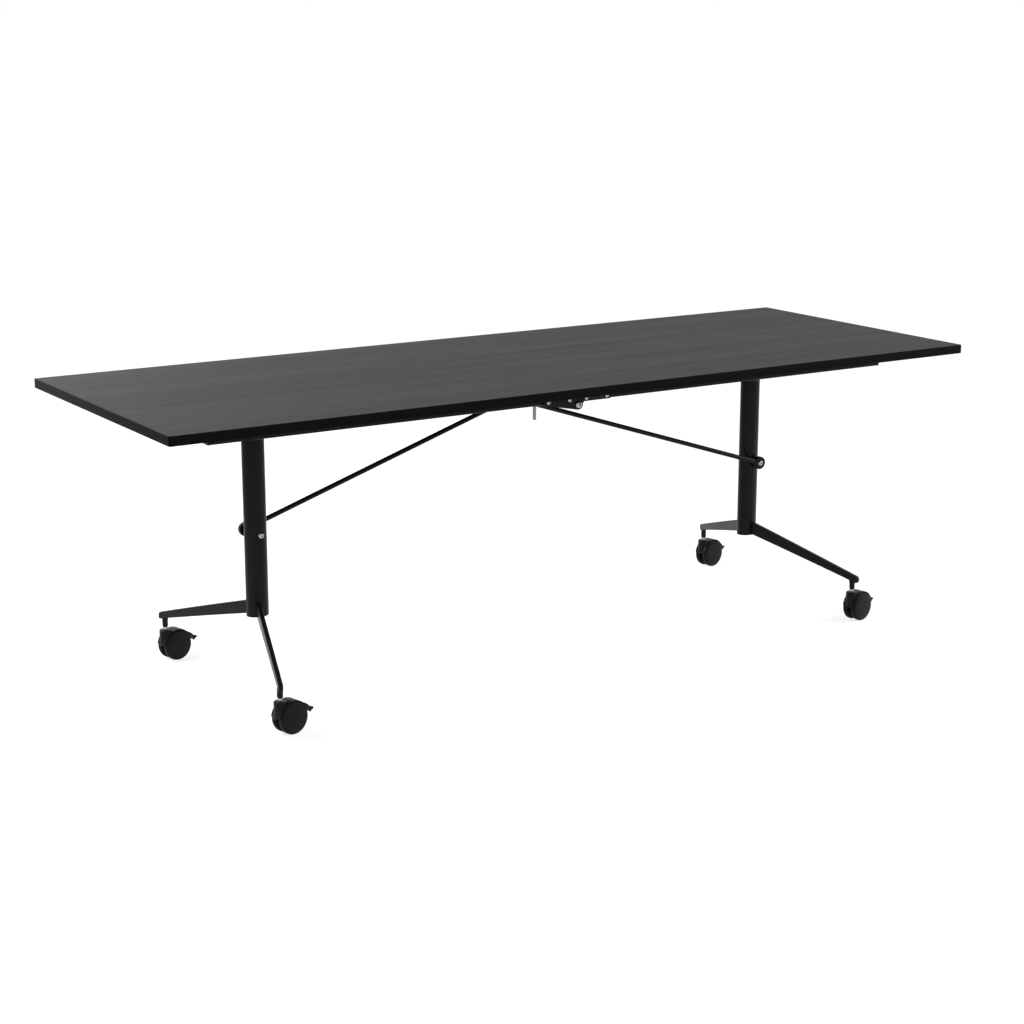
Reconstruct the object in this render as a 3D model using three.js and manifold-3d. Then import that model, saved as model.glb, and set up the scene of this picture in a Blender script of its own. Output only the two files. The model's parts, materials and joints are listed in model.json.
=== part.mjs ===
// Centre-folding training table on castors. Two worktop halves are hinged together at the middle,
// each half stands on a T-leg with two splayed foot arms, and two crossed struts tie each leg to
// the opposite half, so the legs stay upright and roll together as the middle is lifted.
// Millimetres, +Z up, +X along the table, -Y at the front. The origin is on the floor below the
// middle of the worktop.
import * as THREE from "three";
import { mergeVertices } from "three/addons/utils/BufferGeometryUtils.js";
import Module from "manifold-3d";

const wasm = await Module();
wasm.setup();

// Gap left between pieces that touch
const FIT = 0.3;

// How far a cut passes the face it starts from, and the smallest inside corner
const OVERCUT = 1;
const MIN_CORNER_RADIUS = 0.5;

// Facets in a full turn of small, middling and large rounds
const FEW_FACETS = 10;
const FACETS = 14;
const MANY_FACETS = 22;

// Worktop
const TABLE_LENGTH = 2200;
const TABLE_DEPTH = 800;
const TABLE_HEIGHT = 720;
const TOP_THICKNESS = 22;
const TOP_CORNER_RADIUS = 6;
const SEAM_GAP = 1;
const BAND_THICKNESS = 2;
const BAND_EASE = 1.5;

// Under-frame of each half
const RAIL_SPACING = 480;
const RAIL_WIDTH = 25;
const RAIL_DEPTH = 40;
const RAIL_WALL = 2;
const RAIL_CORNER_RADIUS = 3;
const RAIL_END_INSET = 153;
const RAIL_SEAM_INSET = 14;
const CROSSBAR_WIDTH = 30;
const CROSSBAR_DEPTH = 25;
const OUTER_CROSSBAR_INSET = 5;

// Centre hinges
const HINGE_DROP = 4.5;
const LEAF_THICKNESS = 5;
const LEAF_LENGTH = 95;
const LEAF_RISE = 30;
const LEAF_SLOPE_LENGTH = 60;
const LEAF_PAD_START = 22;
const LUG_RADIUS = 13;
const HINGE_BOLT_DIAMETER = 10;
const HINGE_HEAD_DIAMETER = 18;
const HINGE_CROWN_DIAMETER = 11;
const HINGE_HEAD_HEIGHT = 5;
const HINGE_NUT_DIAMETER = 16;
const HINGE_NUT_HEIGHT = 6;

// Legs
const LEG_INSET = 373;
const LEG_PIVOT_RISE = 2.5;
const CROSS_TUBE_DIAMETER = 38;
const CROSS_TUBE_WALL = 2.5;
const SPIGOT_DIAMETER = 16;
const SPIGOT_BORE = 8;
const BRACKET_SPACING = 280;
const BRACKET_THICKNESS = 6;
const BRACKET_WIDTH = 70;
const BRACKET_RADIUS = 16;
const BRACKET_FLANGE = 40;
const BRACKET_FLANGE_THICKNESS = 4;
const COLUMN_WIDTH = 55;
const COLUMN_DEPTH = 44;
const COLUMN_WALL = 2;
const COLUMN_SHOULDER = 12;
const COLUMN_FOOT_DROP = 12;

// Foot arms
const FOOT_SPREAD = 640;
const FOOT_REACH = 101;
const ARM_THICKNESS = 11;
const ARM_ROOT_DEPTH = 34;
const ARM_TIP_DEPTH = 15;
const ARM_RISE = 82;
const ARM_BOW = 1.5;
const ARM_NOSE_REACH = 9;
const SOCKET_DIAMETER = 14;
const SOCKET_EASE = 2;
const SOCKET_DROP = 20;

// Struts
const STRUT_DIAMETER = 12;
const STRUT_DROP = 277;
const STRUT_OFFSET = 8;
const STRUT_REACH = 116;
const STRUT_STANDOFF = 7.2;
const STRUT_BOSS_DIAMETER = 22;
const EYE_THICKNESS = 13;
const OUTER_EYE_DIAMETER = 34;
const INNER_EYE_DIAMETER = 22;
const EYE_BOLT_DIAMETER = 8;
const EYE_BOLT_HEAD_DIAMETER = 14;
const EYE_BOLT_CROWN_DIAMETER = 10;
const EYE_BOLT_HEAD_HEIGHT = 4;
const CLEVIS_THICKNESS = 4;
const CLEVIS_WIDTH = 27;
const CLEVIS_CLEARANCE = 0.5;
const EYE_BAR_CLEARANCE = 1.5;

// Release latch: a slide bolt beside the front rails
const LATCH_DIAMETER = 12;
const LATCH_TRAVEL = 40;
const LATCH_TAIL = 15;
const LATCH_TIP_INSET = 2;
const LATCH_STANDOFF = 10.5;
const LATCH_BAR_CLEARANCE = 1;
const STRAP_LENGTH = 36;
const STRAP_WALL = 2.5;
const STRAP_FLANGE = 12;
const HANDLE_DIAMETER = 8;
const HANDLE_LENGTH = 48;
const HANDLE_TIP_EASE = 1.5;
const HANDLE_CLEARANCE = 1;

// Twin-wheel castors
const CASTOR_TURN = THREE.MathUtils.degToRad(12);
const WHEEL_DIAMETER = 75;
const WHEEL_WIDTH = 16;
const WHEEL_TREAD_RADIUS = 3.5;
const WHEEL_RIM_DIAMETER = 56;
const WHEEL_DISH = 3;
const WHEEL_HUB_DIAMETER = 20;
const WHEEL_SIDE_GAP = 0.8;
const AXLE_DIAMETER = 8;
const CASTOR_TRAIL = 26;
const WEB_THICKNESS = 10;
const WEB_HUB_DIAMETER = 20;
const FENDER_GAP = 1;
const FENDER_WALL = 2;
const FENDER_WIDTH = 34;
const WHEEL_ROOM_GAP = 0.6;
const FENDER_START = THREE.MathUtils.degToRad(12);
const FENDER_END = THREE.MathUtils.degToRad(172);
const BARREL_DIAMETER = 30;
const BARREL_RISE = 5;
const BARREL_SKIRT = 40;
const STEM_DIAMETER = 7.4;
const STEM_DEPTH = 14;
const STEM_HEIGHT = 26;
const COLLAR_DIAMETER = 12;
const COLLAR_HEIGHT = 7;

// Brake lever of each castor
const BRAKE_ANGLE = THREE.MathUtils.degToRad(24);
const BRAKE_STANDOFF = 2.9;
const BRAKE_BARREL_DIAMETER = 4.6;
const BRAKE_WIDTH = 12;
const BRAKE_TIP_WIDTH = 7;
const BRAKE_LENGTH = 13;
const BRAKE_PAD_FLAT = 4;
const BRAKE_PAD_THICKNESS = 3;
const BRAKE_PAD_UPTURN = 4;
const BRAKE_PIN_DIAMETER = 3.2;
const BRAKE_EAR_DIAMETER = 9;
const BRAKE_EAR_THICKNESS = 3;

// Levels and places that follow from the sizes above
const TOP_UNDERSIDE = TABLE_HEIGHT - TOP_THICKNESS;
const RAIL_TOP = TOP_UNDERSIDE - FIT;
const RAIL_BOTTOM = RAIL_TOP - RAIL_DEPTH;
const RAIL_Y = RAIL_SPACING / 2;
const RAIL_START = RAIL_SEAM_INSET;
const RAIL_END = TABLE_LENGTH / 2 - RAIL_END_INSET;
const RAIL_INNER_FACE = RAIL_Y - RAIL_WIDTH / 2;
const RAIL_OUTER_FACE = RAIL_Y + RAIL_WIDTH / 2;
const CROSSBAR_BOTTOM = RAIL_TOP - CROSSBAR_DEPTH;
const HINGE_Z = RAIL_BOTTOM - HINGE_DROP;
const INNER_LEAF_FACE = RAIL_OUTER_FACE + FIT;
const OUTER_LEAF_FACE = INNER_LEAF_FACE + LEAF_THICKNESS + FIT;
const LEG_X = TABLE_LENGTH / 2 - LEG_INSET;
const PIVOT_Z = RAIL_BOTTOM + LEG_PIVOT_RISE;
const BRACKET_OUTER_FACE = BRACKET_SPACING / 2;
const BRACKET_INNER_FACE = BRACKET_OUTER_FACE - BRACKET_THICKNESS;
const CASTOR_HEIGHT = WHEEL_DIAMETER + BARREL_RISE;
const COLLAR_BOTTOM = CASTOR_HEIGHT + FIT;
const SOCKET_BOTTOM = COLLAR_BOTTOM + COLLAR_HEIGHT + FIT;
const ARM_TIP_BOTTOM = SOCKET_BOTTOM + SOCKET_DROP;
const ARM_ROOT_BOTTOM = ARM_TIP_BOTTOM + ARM_RISE;
const COLUMN_BOTTOM = ARM_ROOT_BOTTOM - COLUMN_FOOT_DROP;
const COLUMN_TOP = PIVOT_Z - COLUMN_SHOULDER;
const STRUT_Y = COLUMN_DEPTH / 2 + STRUT_STANDOFF + FIT + EYE_THICKNESS / 2;
const STRUT_LOW_X = LEG_X + STRUT_OFFSET;
const STRUT_LOW_Z = PIVOT_Z - STRUT_DROP;
const STRUT_HIGH_Z = CROSSBAR_BOTTOM - EYE_BAR_CLEARANCE - INNER_EYE_DIAMETER / 2;
const LATCH_Y = RAIL_INNER_FACE - LATCH_STANDOFF;
const LATCH_Z = CROSSBAR_BOTTOM - LATCH_BAR_CLEARANCE - LATCH_DIAMETER / 2;
const STRAP_END = RAIL_START + STRAP_LENGTH;
const HANDLE_X = STRAP_END + HANDLE_CLEARANCE + HANDLE_DIAMETER / 2 + LATCH_TRAVEL;

// Finishes
const GREY_LAMINATE = { color: 0x535456, roughness: 0.55, metalness: 0 };
const BLACK_EDGING = { color: 0x161617, roughness: 0.5, metalness: 0 };
const BLACK_POWDER_COAT = { color: 0x1e1f20, roughness: 0.45, metalness: 0.1 };
const ZINC_PLATE = { color: 0xb9bcc0, roughness: 0.35, metalness: 1 };
const BRIGHT_STEEL = { color: 0xd6d8da, roughness: 0.22, metalness: 1 };
const BLACK_NYLON = { color: 0x131314, roughness: 0.5, metalness: 0 };
const WHEEL_POLYMER = { color: 0x1a1b1c, roughness: 0.6, metalness: 0 };

function solidOf(geometry) {
  const bare = geometry.clone();
  bare.deleteAttribute("normal");
  bare.deleteAttribute("uv");
  const merged = mergeVertices(bare, 1e-4);
  const vertProperties = new Float32Array(merged.attributes.position.array);
  const triVerts = new Uint32Array(merged.index.array);
  return new wasm.Manifold(new wasm.Mesh({ numProp: 3, vertProperties, triVerts }));
}

function geometryOf(solid) {
  const mesh = solid.getMesh();
  const geometry = new THREE.BufferGeometry();
  geometry.setAttribute("position", new THREE.BufferAttribute(mesh.vertProperties, 3));
  geometry.setIndex(new THREE.BufferAttribute(mesh.triVerts, 1));
  geometry.computeVertexNormals();
  return geometry;
}

function joined(...pieces) {
  return geometryOf(pieces.map(solidOf).reduce((whole, next) => whole.add(next)));
}

function cut(piece, ...tools) {
  return geometryOf(tools.map(solidOf).reduce((rest, tool) => rest.subtract(tool), solidOf(piece)));
}

function shared(piece, other) {
  return geometryOf(solidOf(piece).intersect(solidOf(other)));
}

function piece(name, finish, geometry) {
  const mesh = new THREE.Mesh(geometry, new THREE.MeshStandardMaterial(finish));
  mesh.name = name;
  return mesh;
}

// Extrusions along each axis, from a low to a high coordinate. The shape is drawn in (x, z) for
// the Y axis, in (y, z) for the X axis and in (x, y) for the Z axis.
function extruded(shape, depth, curveSegments) {
  return new THREE.ExtrudeGeometry(shape, { depth, bevelEnabled: false, curveSegments });
}

function extrudeAlongY(shape, low, high, curveSegments = 6) {
  return extruded(shape, high - low, curveSegments).rotateX(Math.PI / 2).translate(0, high, 0);
}

function extrudeAlongX(shape, low, high, curveSegments = 1) {
  const turn = new THREE.Matrix4().makeBasis(
    new THREE.Vector3(0, 1, 0),
    new THREE.Vector3(0, 0, 1),
    new THREE.Vector3(1, 0, 0),
  );
  return extruded(shape, high - low, curveSegments).applyMatrix4(turn).translate(low, 0, 0);
}

function extrudeAlongZ(shape, low, high, curveSegments = 2) {
  return extruded(shape, high - low, curveSegments).translate(0, 0, low);
}

// Round bars along Y and Z, from a low to a high coordinate, centred on the axis
function barAlongY(diameter, low, high, segments = FACETS) {
  const geometry = new THREE.CylinderGeometry(diameter / 2, diameter / 2, high - low, segments);
  return geometry.translate(0, (low + high) / 2, 0);
}

function barAlongZ(diameter, low, high, segments = FACETS) {
  return barAlongY(diameter, low, high, segments).rotateX(Math.PI / 2);
}

// A turned piece: the profile lists radius and height along the axis.
function turned(profile, segments = FACETS) {
  const points = profile.map(([radius, height]) => new THREE.Vector2(radius, height));
  return new THREE.LatheGeometry(points, segments);
}

function roundedRectangle(x0, y0, x1, y1, radius, path = new THREE.Shape()) {
  path.moveTo(x0 + radius, y0);
  path.absarc(x1 - radius, y0 + radius, radius, -Math.PI / 2, 0);
  path.absarc(x1 - radius, y1 - radius, radius, 0, Math.PI / 2);
  path.absarc(x0 + radius, y1 - radius, radius, Math.PI / 2, Math.PI);
  path.absarc(x0 + radius, y0 + radius, radius, Math.PI, Math.PI * 1.5);
  path.closePath();
  return path;
}

function rectangularTube(y0, z0, y1, z1) {
  const shape = roundedRectangle(y0, z0, y1, z1, RAIL_CORNER_RADIUS);
  const wall = RAIL_WALL;
  const innerRadius = Math.max(RAIL_CORNER_RADIUS - wall, MIN_CORNER_RADIUS);
  shape.holes.push(
    roundedRectangle(y0 + wall, z0 + wall, y1 - wall, z1 - wall, innerRadius, new THREE.Path()),
  );
  return shape;
}

function ellipse(width, depth) {
  return new THREE.Shape().absellipse(0, 0, width / 2, depth / 2, 0, Math.PI * 2);
}

// The worktop half, drawn on the +X side

function topPanel() {
  const rim = BAND_THICKNESS + FIT;
  const cornerRadius = Math.max(TOP_CORNER_RADIUS - rim, MIN_CORNER_RADIUS);
  const outline = roundedRectangle(
    SEAM_GAP / 2 + rim,
    -TABLE_DEPTH / 2 + rim,
    TABLE_LENGTH / 2 - rim,
    TABLE_DEPTH / 2 - rim,
    cornerRadius,
  );
  return extrudeAlongZ(outline, TOP_UNDERSIDE, TABLE_HEIGHT);
}

function edgeBand() {
  const outline = roundedRectangle(
    SEAM_GAP / 2,
    -TABLE_DEPTH / 2,
    TABLE_LENGTH / 2,
    TABLE_DEPTH / 2,
    TOP_CORNER_RADIUS,
  );
  const eased = new THREE.ExtrudeGeometry(outline, {
    depth: TOP_THICKNESS - 2 * BAND_EASE,
    bevelThickness: BAND_EASE,
    bevelSize: BAND_EASE,
    bevelOffset: -BAND_EASE,
    bevelSegments: 2,
    curveSegments: 2,
  }).translate(0, 0, TOP_UNDERSIDE + BAND_EASE);
  const inner = roundedRectangle(
    SEAM_GAP / 2 + BAND_THICKNESS,
    -TABLE_DEPTH / 2 + BAND_THICKNESS,
    TABLE_LENGTH / 2 - BAND_THICKNESS,
    TABLE_DEPTH / 2 - BAND_THICKNESS,
    Math.max(TOP_CORNER_RADIUS - BAND_THICKNESS, MIN_CORNER_RADIUS),
  );
  return cut(eased, extrudeAlongZ(inner, TOP_UNDERSIDE - OVERCUT, TABLE_HEIGHT + OVERCUT));
}

function rail(sign) {
  const y = sign * RAIL_Y;
  const section = rectangularTube(y - RAIL_WIDTH / 2, RAIL_BOTTOM, y + RAIL_WIDTH / 2, RAIL_TOP);
  return extrudeAlongX(section, RAIL_START, RAIL_END);
}

function crossbar(x) {
  const reach = RAIL_INNER_FACE - FIT;
  const half = CROSSBAR_WIDTH / 2;
  const section = rectangularTube(x - half, CROSSBAR_BOTTOM, x + half, RAIL_TOP);
  return extrudeAlongY(section, -reach, reach, 1);
}

function outerCrossbar() {
  return crossbar(RAIL_END - OUTER_CROSSBAR_INSET - CROSSBAR_WIDTH / 2);
}

// The inner crossbar carries the clevis of the opposite leg's strut.
function innerCrossbar() {
  const cheek = new THREE.Shape();
  const radius = INNER_EYE_DIAMETER / 2;
  cheek.moveTo(STRUT_REACH + CLEVIS_WIDTH / 2, CROSSBAR_BOTTOM + RAIL_WALL / 2);
  cheek.lineTo(STRUT_REACH - CLEVIS_WIDTH / 2, CROSSBAR_BOTTOM + RAIL_WALL / 2);
  cheek.absarc(STRUT_REACH, STRUT_HIGH_Z, radius, Math.PI, Math.PI * 2);
  cheek.closePath();
  const bore = new THREE.Path();
  bore.absarc(STRUT_REACH, STRUT_HIGH_Z, EYE_BOLT_DIAMETER / 2 + FIT, 0, Math.PI * 2);
  cheek.holes.push(bore);
  const gap = EYE_THICKNESS / 2 + CLEVIS_CLEARANCE;
  const cheeks = [-1, 1].map((sign) => {
    const faces = [STRUT_Y + sign * gap, STRUT_Y + sign * (gap + CLEVIS_THICKNESS)];
    return extrudeAlongY(cheek, Math.min(...faces), Math.max(...faces));
  });
  return joined(crossbar(STRUT_REACH), ...cheeks);
}

// The strut's bolt through the clevis, with its head and nut outside the cheeks
function clevisBolt() {
  const grip = EYE_THICKNESS / 2 + CLEVIS_CLEARANCE + CLEVIS_THICKNESS + FIT;
  const end = grip + EYE_BOLT_HEAD_HEIGHT;
  const head = EYE_BOLT_HEAD_DIAMETER / 2;
  const shank = EYE_BOLT_DIAMETER / 2;
  const profile = [[0, -end], [head, -end], [head, -grip], [shank, -grip]];
  profile.push([shank, grip], [head, grip], [head, end], [0, end]);
  return turned(profile, FEW_FACETS).translate(STRUT_REACH, STRUT_Y, STRUT_HIGH_Z);
}

// An angle bracket: its flange lies under the worktop and its plate carries the leg's pivot.
function pivotBracket(sign) {
  const plate = new THREE.Shape();
  const top = RAIL_TOP;
  plate.moveTo(LEG_X + BRACKET_WIDTH / 2, top);
  plate.lineTo(LEG_X - BRACKET_WIDTH / 2, top);
  plate.lineTo(LEG_X - BRACKET_WIDTH / 2, PIVOT_Z + BRACKET_RADIUS);
  plate.absarc(LEG_X, PIVOT_Z, BRACKET_RADIUS, Math.PI, Math.PI * 2);
  plate.lineTo(LEG_X + BRACKET_WIDTH / 2, PIVOT_Z + BRACKET_RADIUS);
  plate.closePath();
  const bore = new THREE.Path();
  bore.absarc(LEG_X, PIVOT_Z, SPIGOT_DIAMETER / 2 + FIT, 0, Math.PI * 2);
  plate.holes.push(bore);
  const faces = [sign * BRACKET_INNER_FACE, sign * BRACKET_OUTER_FACE];
  const flangeEdges = [sign * BRACKET_INNER_FACE, sign * (BRACKET_OUTER_FACE + BRACKET_FLANGE)];
  const flange = roundedRectangle(
    LEG_X - BRACKET_WIDTH / 2,
    Math.min(...flangeEdges),
    LEG_X + BRACKET_WIDTH / 2,
    Math.max(...flangeEdges),
    MIN_CORNER_RADIUS,
  );
  return joined(
    extrudeAlongY(plate, Math.min(...faces), Math.max(...faces)),
    extrudeAlongZ(flange, top - BRACKET_FLANGE_THICKNESS, top, 1),
  );
}

// A hinge leaf lies on the rail's outer face and drops to a round lug at the hinge axis.
function leafOutline() {
  const corner = new THREE.Vector2(LEAF_SLOPE_LENGTH, RAIL_BOTTOM - HINGE_Z);
  const touch = corner.angle() - Math.acos(LUG_RADIUS / corner.length());
  const outline = new THREE.Shape();
  const top = RAIL_BOTTOM + LEAF_RISE;
  outline.moveTo(LEAF_LENGTH, RAIL_BOTTOM);
  outline.lineTo(LEAF_LENGTH, top);
  outline.lineTo(RAIL_START, top);
  outline.lineTo(0, HINGE_Z + LUG_RADIUS);
  outline.absarc(0, HINGE_Z, LUG_RADIUS, Math.PI / 2, touch + Math.PI * 2);
  outline.lineTo(corner.x, RAIL_BOTTOM);
  outline.closePath();
  const bore = new THREE.Path();
  bore.absarc(0, HINGE_Z, HINGE_BOLT_DIAMETER / 2 + FIT, 0, Math.PI * 2);
  outline.holes.push(bore);
  return outline;
}

function innerLeaf(sign) {
  const faces = [sign * INNER_LEAF_FACE, sign * (INNER_LEAF_FACE + LEAF_THICKNESS)];
  return extrudeAlongY(leafOutline(), Math.min(...faces), Math.max(...faces));
}

// The outer leaf stands one leaf further out, on a pad against the rail.
function outerLeaf(sign) {
  const faces = [sign * OUTER_LEAF_FACE, sign * (OUTER_LEAF_FACE + LEAF_THICKNESS)];
  const leaf = extrudeAlongY(leafOutline(), Math.min(...faces), Math.max(...faces));
  const padTop = RAIL_BOTTOM + LEAF_RISE;
  const pad = roundedRectangle(LEAF_PAD_START, RAIL_BOTTOM, LEAF_LENGTH, padTop, MIN_CORNER_RADIUS);
  const padFaces = [sign * INNER_LEAF_FACE, sign * (OUTER_LEAF_FACE + LEAF_THICKNESS / 2)];
  return joined(leaf, extrudeAlongY(pad, Math.min(...padFaces), Math.max(...padFaces), 1));
}

// A bent strap on the inner face of a front rail that the slide bolt runs through: the guide of
// the left half and the keeper of the right half
function latchStrap(sign) {
  const seat = RAIL_INNER_FACE - FIT;
  const inside = LATCH_DIAMETER / 2 + FIT;
  const outside = inside + STRAP_WALL;
  const section = [
    [seat, LATCH_Z - outside],
    [LATCH_Y - outside, LATCH_Z - outside],
    [LATCH_Y - outside, LATCH_Z + outside],
    [seat - STRAP_WALL, LATCH_Z + outside],
    [seat - STRAP_WALL, LATCH_Z + outside + STRAP_FLANGE],
    [seat, LATCH_Z + outside + STRAP_FLANGE],
    [seat, LATCH_Z + inside],
    [LATCH_Y - inside, LATCH_Z + inside],
    [LATCH_Y - inside, LATCH_Z - inside],
    [seat, LATCH_Z - inside],
  ];
  const shape = new THREE.Shape(section.map(([y, z]) => new THREE.Vector2(sign * y, z)));
  return extrudeAlongX(shape, RAIL_START, STRAP_END);
}

function worktopHalf(side, near, far) {
  const half = new THREE.Group();
  half.add(piece(`${side}_top_panel`, GREY_LAMINATE, topPanel()));
  half.add(piece(`${side}_edge_band`, BLACK_EDGING, edgeBand()));
  for (const [edge, sign] of [[near, -1], [far, 1]]) {
    half.add(piece(`${side}_${edge}_rail`, BLACK_POWDER_COAT, rail(sign)));
    half.add(piece(`${side}_${edge}_pivot_bracket`, BLACK_POWDER_COAT, pivotBracket(sign)));
    const leaf = sign < 0 ? innerLeaf(sign) : outerLeaf(sign);
    half.add(piece(`${edge}_hinge_${side}_leaf`, BLACK_POWDER_COAT, leaf));
    if (edge === "front") {
      half.add(piece(`${side}_latch_strap`, BLACK_POWDER_COAT, latchStrap(sign)));
    }
  }
  half.add(piece(`${side}_inner_crossbar`, BLACK_POWDER_COAT, innerCrossbar()));
  half.add(piece(`${side}_outer_crossbar`, BLACK_POWDER_COAT, outerCrossbar()));
  half.add(piece(`${side}_clevis_bolt`, ZINC_PLATE, clevisBolt()));
  return half;
}

// The bolt of the front hinge: domed head outside, nut between the ends of the rails
function hingeBolt() {
  const headFace = -(OUTER_LEAF_FACE + LEAF_THICKNESS + FIT);
  const nutFace = -(INNER_LEAF_FACE - FIT);
  const shank = HINGE_BOLT_DIAMETER / 2;
  const head = HINGE_HEAD_DIAMETER / 2;
  const nut = HINGE_NUT_DIAMETER / 2;
  const crown = headFace - HINGE_HEAD_HEIGHT;
  const crownEdge = HINGE_CROWN_DIAMETER / 2;
  const profile = [[0, crown], [crownEdge, crown], [head, crown + HINGE_HEAD_HEIGHT / 2]];
  profile.push([head, headFace], [shank, headFace], [shank, nutFace], [nut, nutFace]);
  profile.push([nut, nutFace + HINGE_NUT_HEIGHT], [0, nutFace + HINGE_NUT_HEIGHT]);
  return turned(profile).translate(0, 0, HINGE_Z);
}

// The leg, drawn on the +X side

// The cross tube has a bored spigot at each end that turns in the pivot bracket.
function crossTube() {
  const tube = CROSS_TUBE_DIAMETER / 2;
  const inside = tube - CROSS_TUBE_WALL;
  const spigot = SPIGOT_DIAMETER / 2;
  const bore = SPIGOT_BORE / 2;
  const face = BRACKET_INNER_FACE - FIT;
  const tip = BRACKET_OUTER_FACE;
  const plug = face - CROSS_TUBE_WALL;
  const profile = [[bore, -tip], [spigot, -tip], [spigot, -face], [tube, -face]];
  profile.push([tube, face], [spigot, face], [spigot, tip], [bore, tip]);
  profile.push([bore, plug], [inside, plug], [inside, -plug], [bore, -plug], [bore, -tip]);
  return turned(profile).translate(LEG_X, 0, PIVOT_Z);
}

// An oval tube, closed at the foot and coped to the cross tube, with a boss for the strut
function column() {
  const outside = extrudeAlongZ(ellipse(COLUMN_WIDTH, COLUMN_DEPTH), COLUMN_BOTTOM, COLUMN_TOP, 18);
  const bore = ellipse(COLUMN_WIDTH - 2 * COLUMN_WALL, COLUMN_DEPTH - 2 * COLUMN_WALL);
  const inside = extrudeAlongZ(bore, COLUMN_BOTTOM + COLUMN_WALL, COLUMN_TOP + OVERCUT, 12);
  const bossFace = -(COLUMN_DEPTH / 2 + STRUT_STANDOFF);
  const boss = barAlongY(STRUT_BOSS_DIAMETER, bossFace, 0);
  boss.translate(STRUT_OFFSET, 0, STRUT_LOW_Z);
  const copeReach = COLUMN_DEPTH;
  const cope = barAlongY(CROSS_TUBE_DIAMETER + 2 * FIT, -copeReach, copeReach);
  cope.translate(0, 0, PIVOT_Z);
  return cut(joined(outside, boss), inside, cope).translate(LEG_X, 0, 0);
}

// A blade that tapers from the column down to the castor socket, drawn along +X from the column
// axis and then swung out to the front or the rear
function footArm(sign) {
  const length = Math.hypot(FOOT_REACH, FOOT_SPREAD / 2);
  const noseCentre = length + ARM_NOSE_REACH - ARM_THICKNESS / 2;
  const tipTop = ARM_TIP_BOTTOM + ARM_TIP_DEPTH;
  const rootTop = ARM_ROOT_BOTTOM + ARM_ROOT_DEPTH;
  const profile = new THREE.Shape();
  profile.moveTo(0, ARM_ROOT_BOTTOM);
  profile.quadraticCurveTo(
    length / 2,
    (ARM_ROOT_BOTTOM + ARM_TIP_BOTTOM) / 2 + ARM_BOW,
    length,
    ARM_TIP_BOTTOM,
  );
  profile.lineTo(noseCentre, ARM_TIP_BOTTOM);
  profile.lineTo(noseCentre, tipTop);
  profile.lineTo(length, tipTop);
  profile.quadraticCurveTo(length / 2, (rootTop + tipTop) / 2 + ARM_BOW, 0, rootTop);
  profile.closePath();
  const blade = extrudeAlongY(profile, -ARM_THICKNESS / 2, ARM_THICKNESS / 2);
  const nose = barAlongZ(ARM_THICKNESS, ARM_TIP_BOTTOM, tipTop).translate(noseCentre, 0, 0);
  const socketRadius = SOCKET_DIAMETER / 2;
  const socketTop = tipTop - SOCKET_EASE;
  const socketProfile = [[0, SOCKET_BOTTOM], [socketRadius - SOCKET_EASE, SOCKET_BOTTOM]];
  socketProfile.push([socketRadius, SOCKET_BOTTOM + SOCKET_EASE], [socketRadius, ARM_TIP_BOTTOM]);
  socketProfile.push([ARM_THICKNESS / 2, socketTop], [0, socketTop]);
  const socket = turned(socketProfile).rotateX(Math.PI / 2).translate(length, 0, 0);
  const arm = joined(blade, nose, socket);
  const boreTop = SOCKET_BOTTOM + STEM_HEIGHT + FIT;
  const boreSize = STEM_DIAMETER + 2 * FIT;
  const stemBore = barAlongZ(boreSize, SOCKET_BOTTOM - OVERCUT, boreTop, FEW_FACETS);
  stemBore.translate(length, 0, 0);
  const swing = Math.atan2(sign * FOOT_SPREAD / 2, FOOT_REACH);
  const columnSeat = extrudeAlongZ(
    ellipse(COLUMN_WIDTH + 2 * FIT, COLUMN_DEPTH + 2 * FIT),
    ARM_ROOT_BOTTOM - ARM_ROOT_DEPTH,
    rootTop + ARM_ROOT_DEPTH,
    20,
  );
  return cut(cut(arm, stemBore).rotateZ(swing), columnSeat).translate(LEG_X, 0, 0);
}

function leg(side, near, far) {
  const group = new THREE.Group();
  group.add(piece(`${side}_cross_tube`, BLACK_POWDER_COAT, crossTube()));
  group.add(piece(`${side}_column`, BLACK_POWDER_COAT, column()));
  group.add(piece(`${side}_${near}_foot_arm`, BLACK_POWDER_COAT, footArm(-1)));
  group.add(piece(`${side}_${far}_foot_arm`, BLACK_POWDER_COAT, footArm(1)));
  return group;
}

// The strut from the leg on the +X side to the half on the -X side, drawn along +X from its
// outer eye and then tilted into place

function strutRod(length) {
  const half = EYE_THICKNESS / 2;
  const rod = new THREE.CylinderGeometry(STRUT_DIAMETER / 2, STRUT_DIAMETER / 2, length, FACETS);
  rod.rotateZ(Math.PI / 2).translate(length / 2, 0, 0);
  const outerEye = barAlongY(OUTER_EYE_DIAMETER, -half, half, MANY_FACETS);
  const innerEye = barAlongY(INNER_EYE_DIAMETER, -half, half).translate(length, 0, 0);
  const bore = barAlongY(EYE_BOLT_DIAMETER + 2 * FIT, -EYE_THICKNESS, EYE_THICKNESS);
  const farBore = bore.clone().translate(length, 0, 0);
  return cut(joined(rod, outerEye, innerEye), bore, farBore);
}

// The screw of the outer eye: its head lies on the face away from the column
function strutScrew() {
  const face = -(EYE_THICKNESS / 2 + FIT);
  const shank = EYE_BOLT_DIAMETER / 2;
  const head = EYE_BOLT_HEAD_DIAMETER / 2;
  const crown = face - EYE_BOLT_HEAD_HEIGHT;
  const crownEdge = EYE_BOLT_CROWN_DIAMETER / 2;
  const profile = [[0, crown], [crownEdge, crown], [head, crown + EYE_BOLT_HEAD_HEIGHT / 2]];
  profile.push([head, face], [shank, face], [shank, EYE_THICKNESS / 2 - FIT], [0, EYE_THICKNESS / 2 - FIT]);
  return turned(profile);
}

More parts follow.
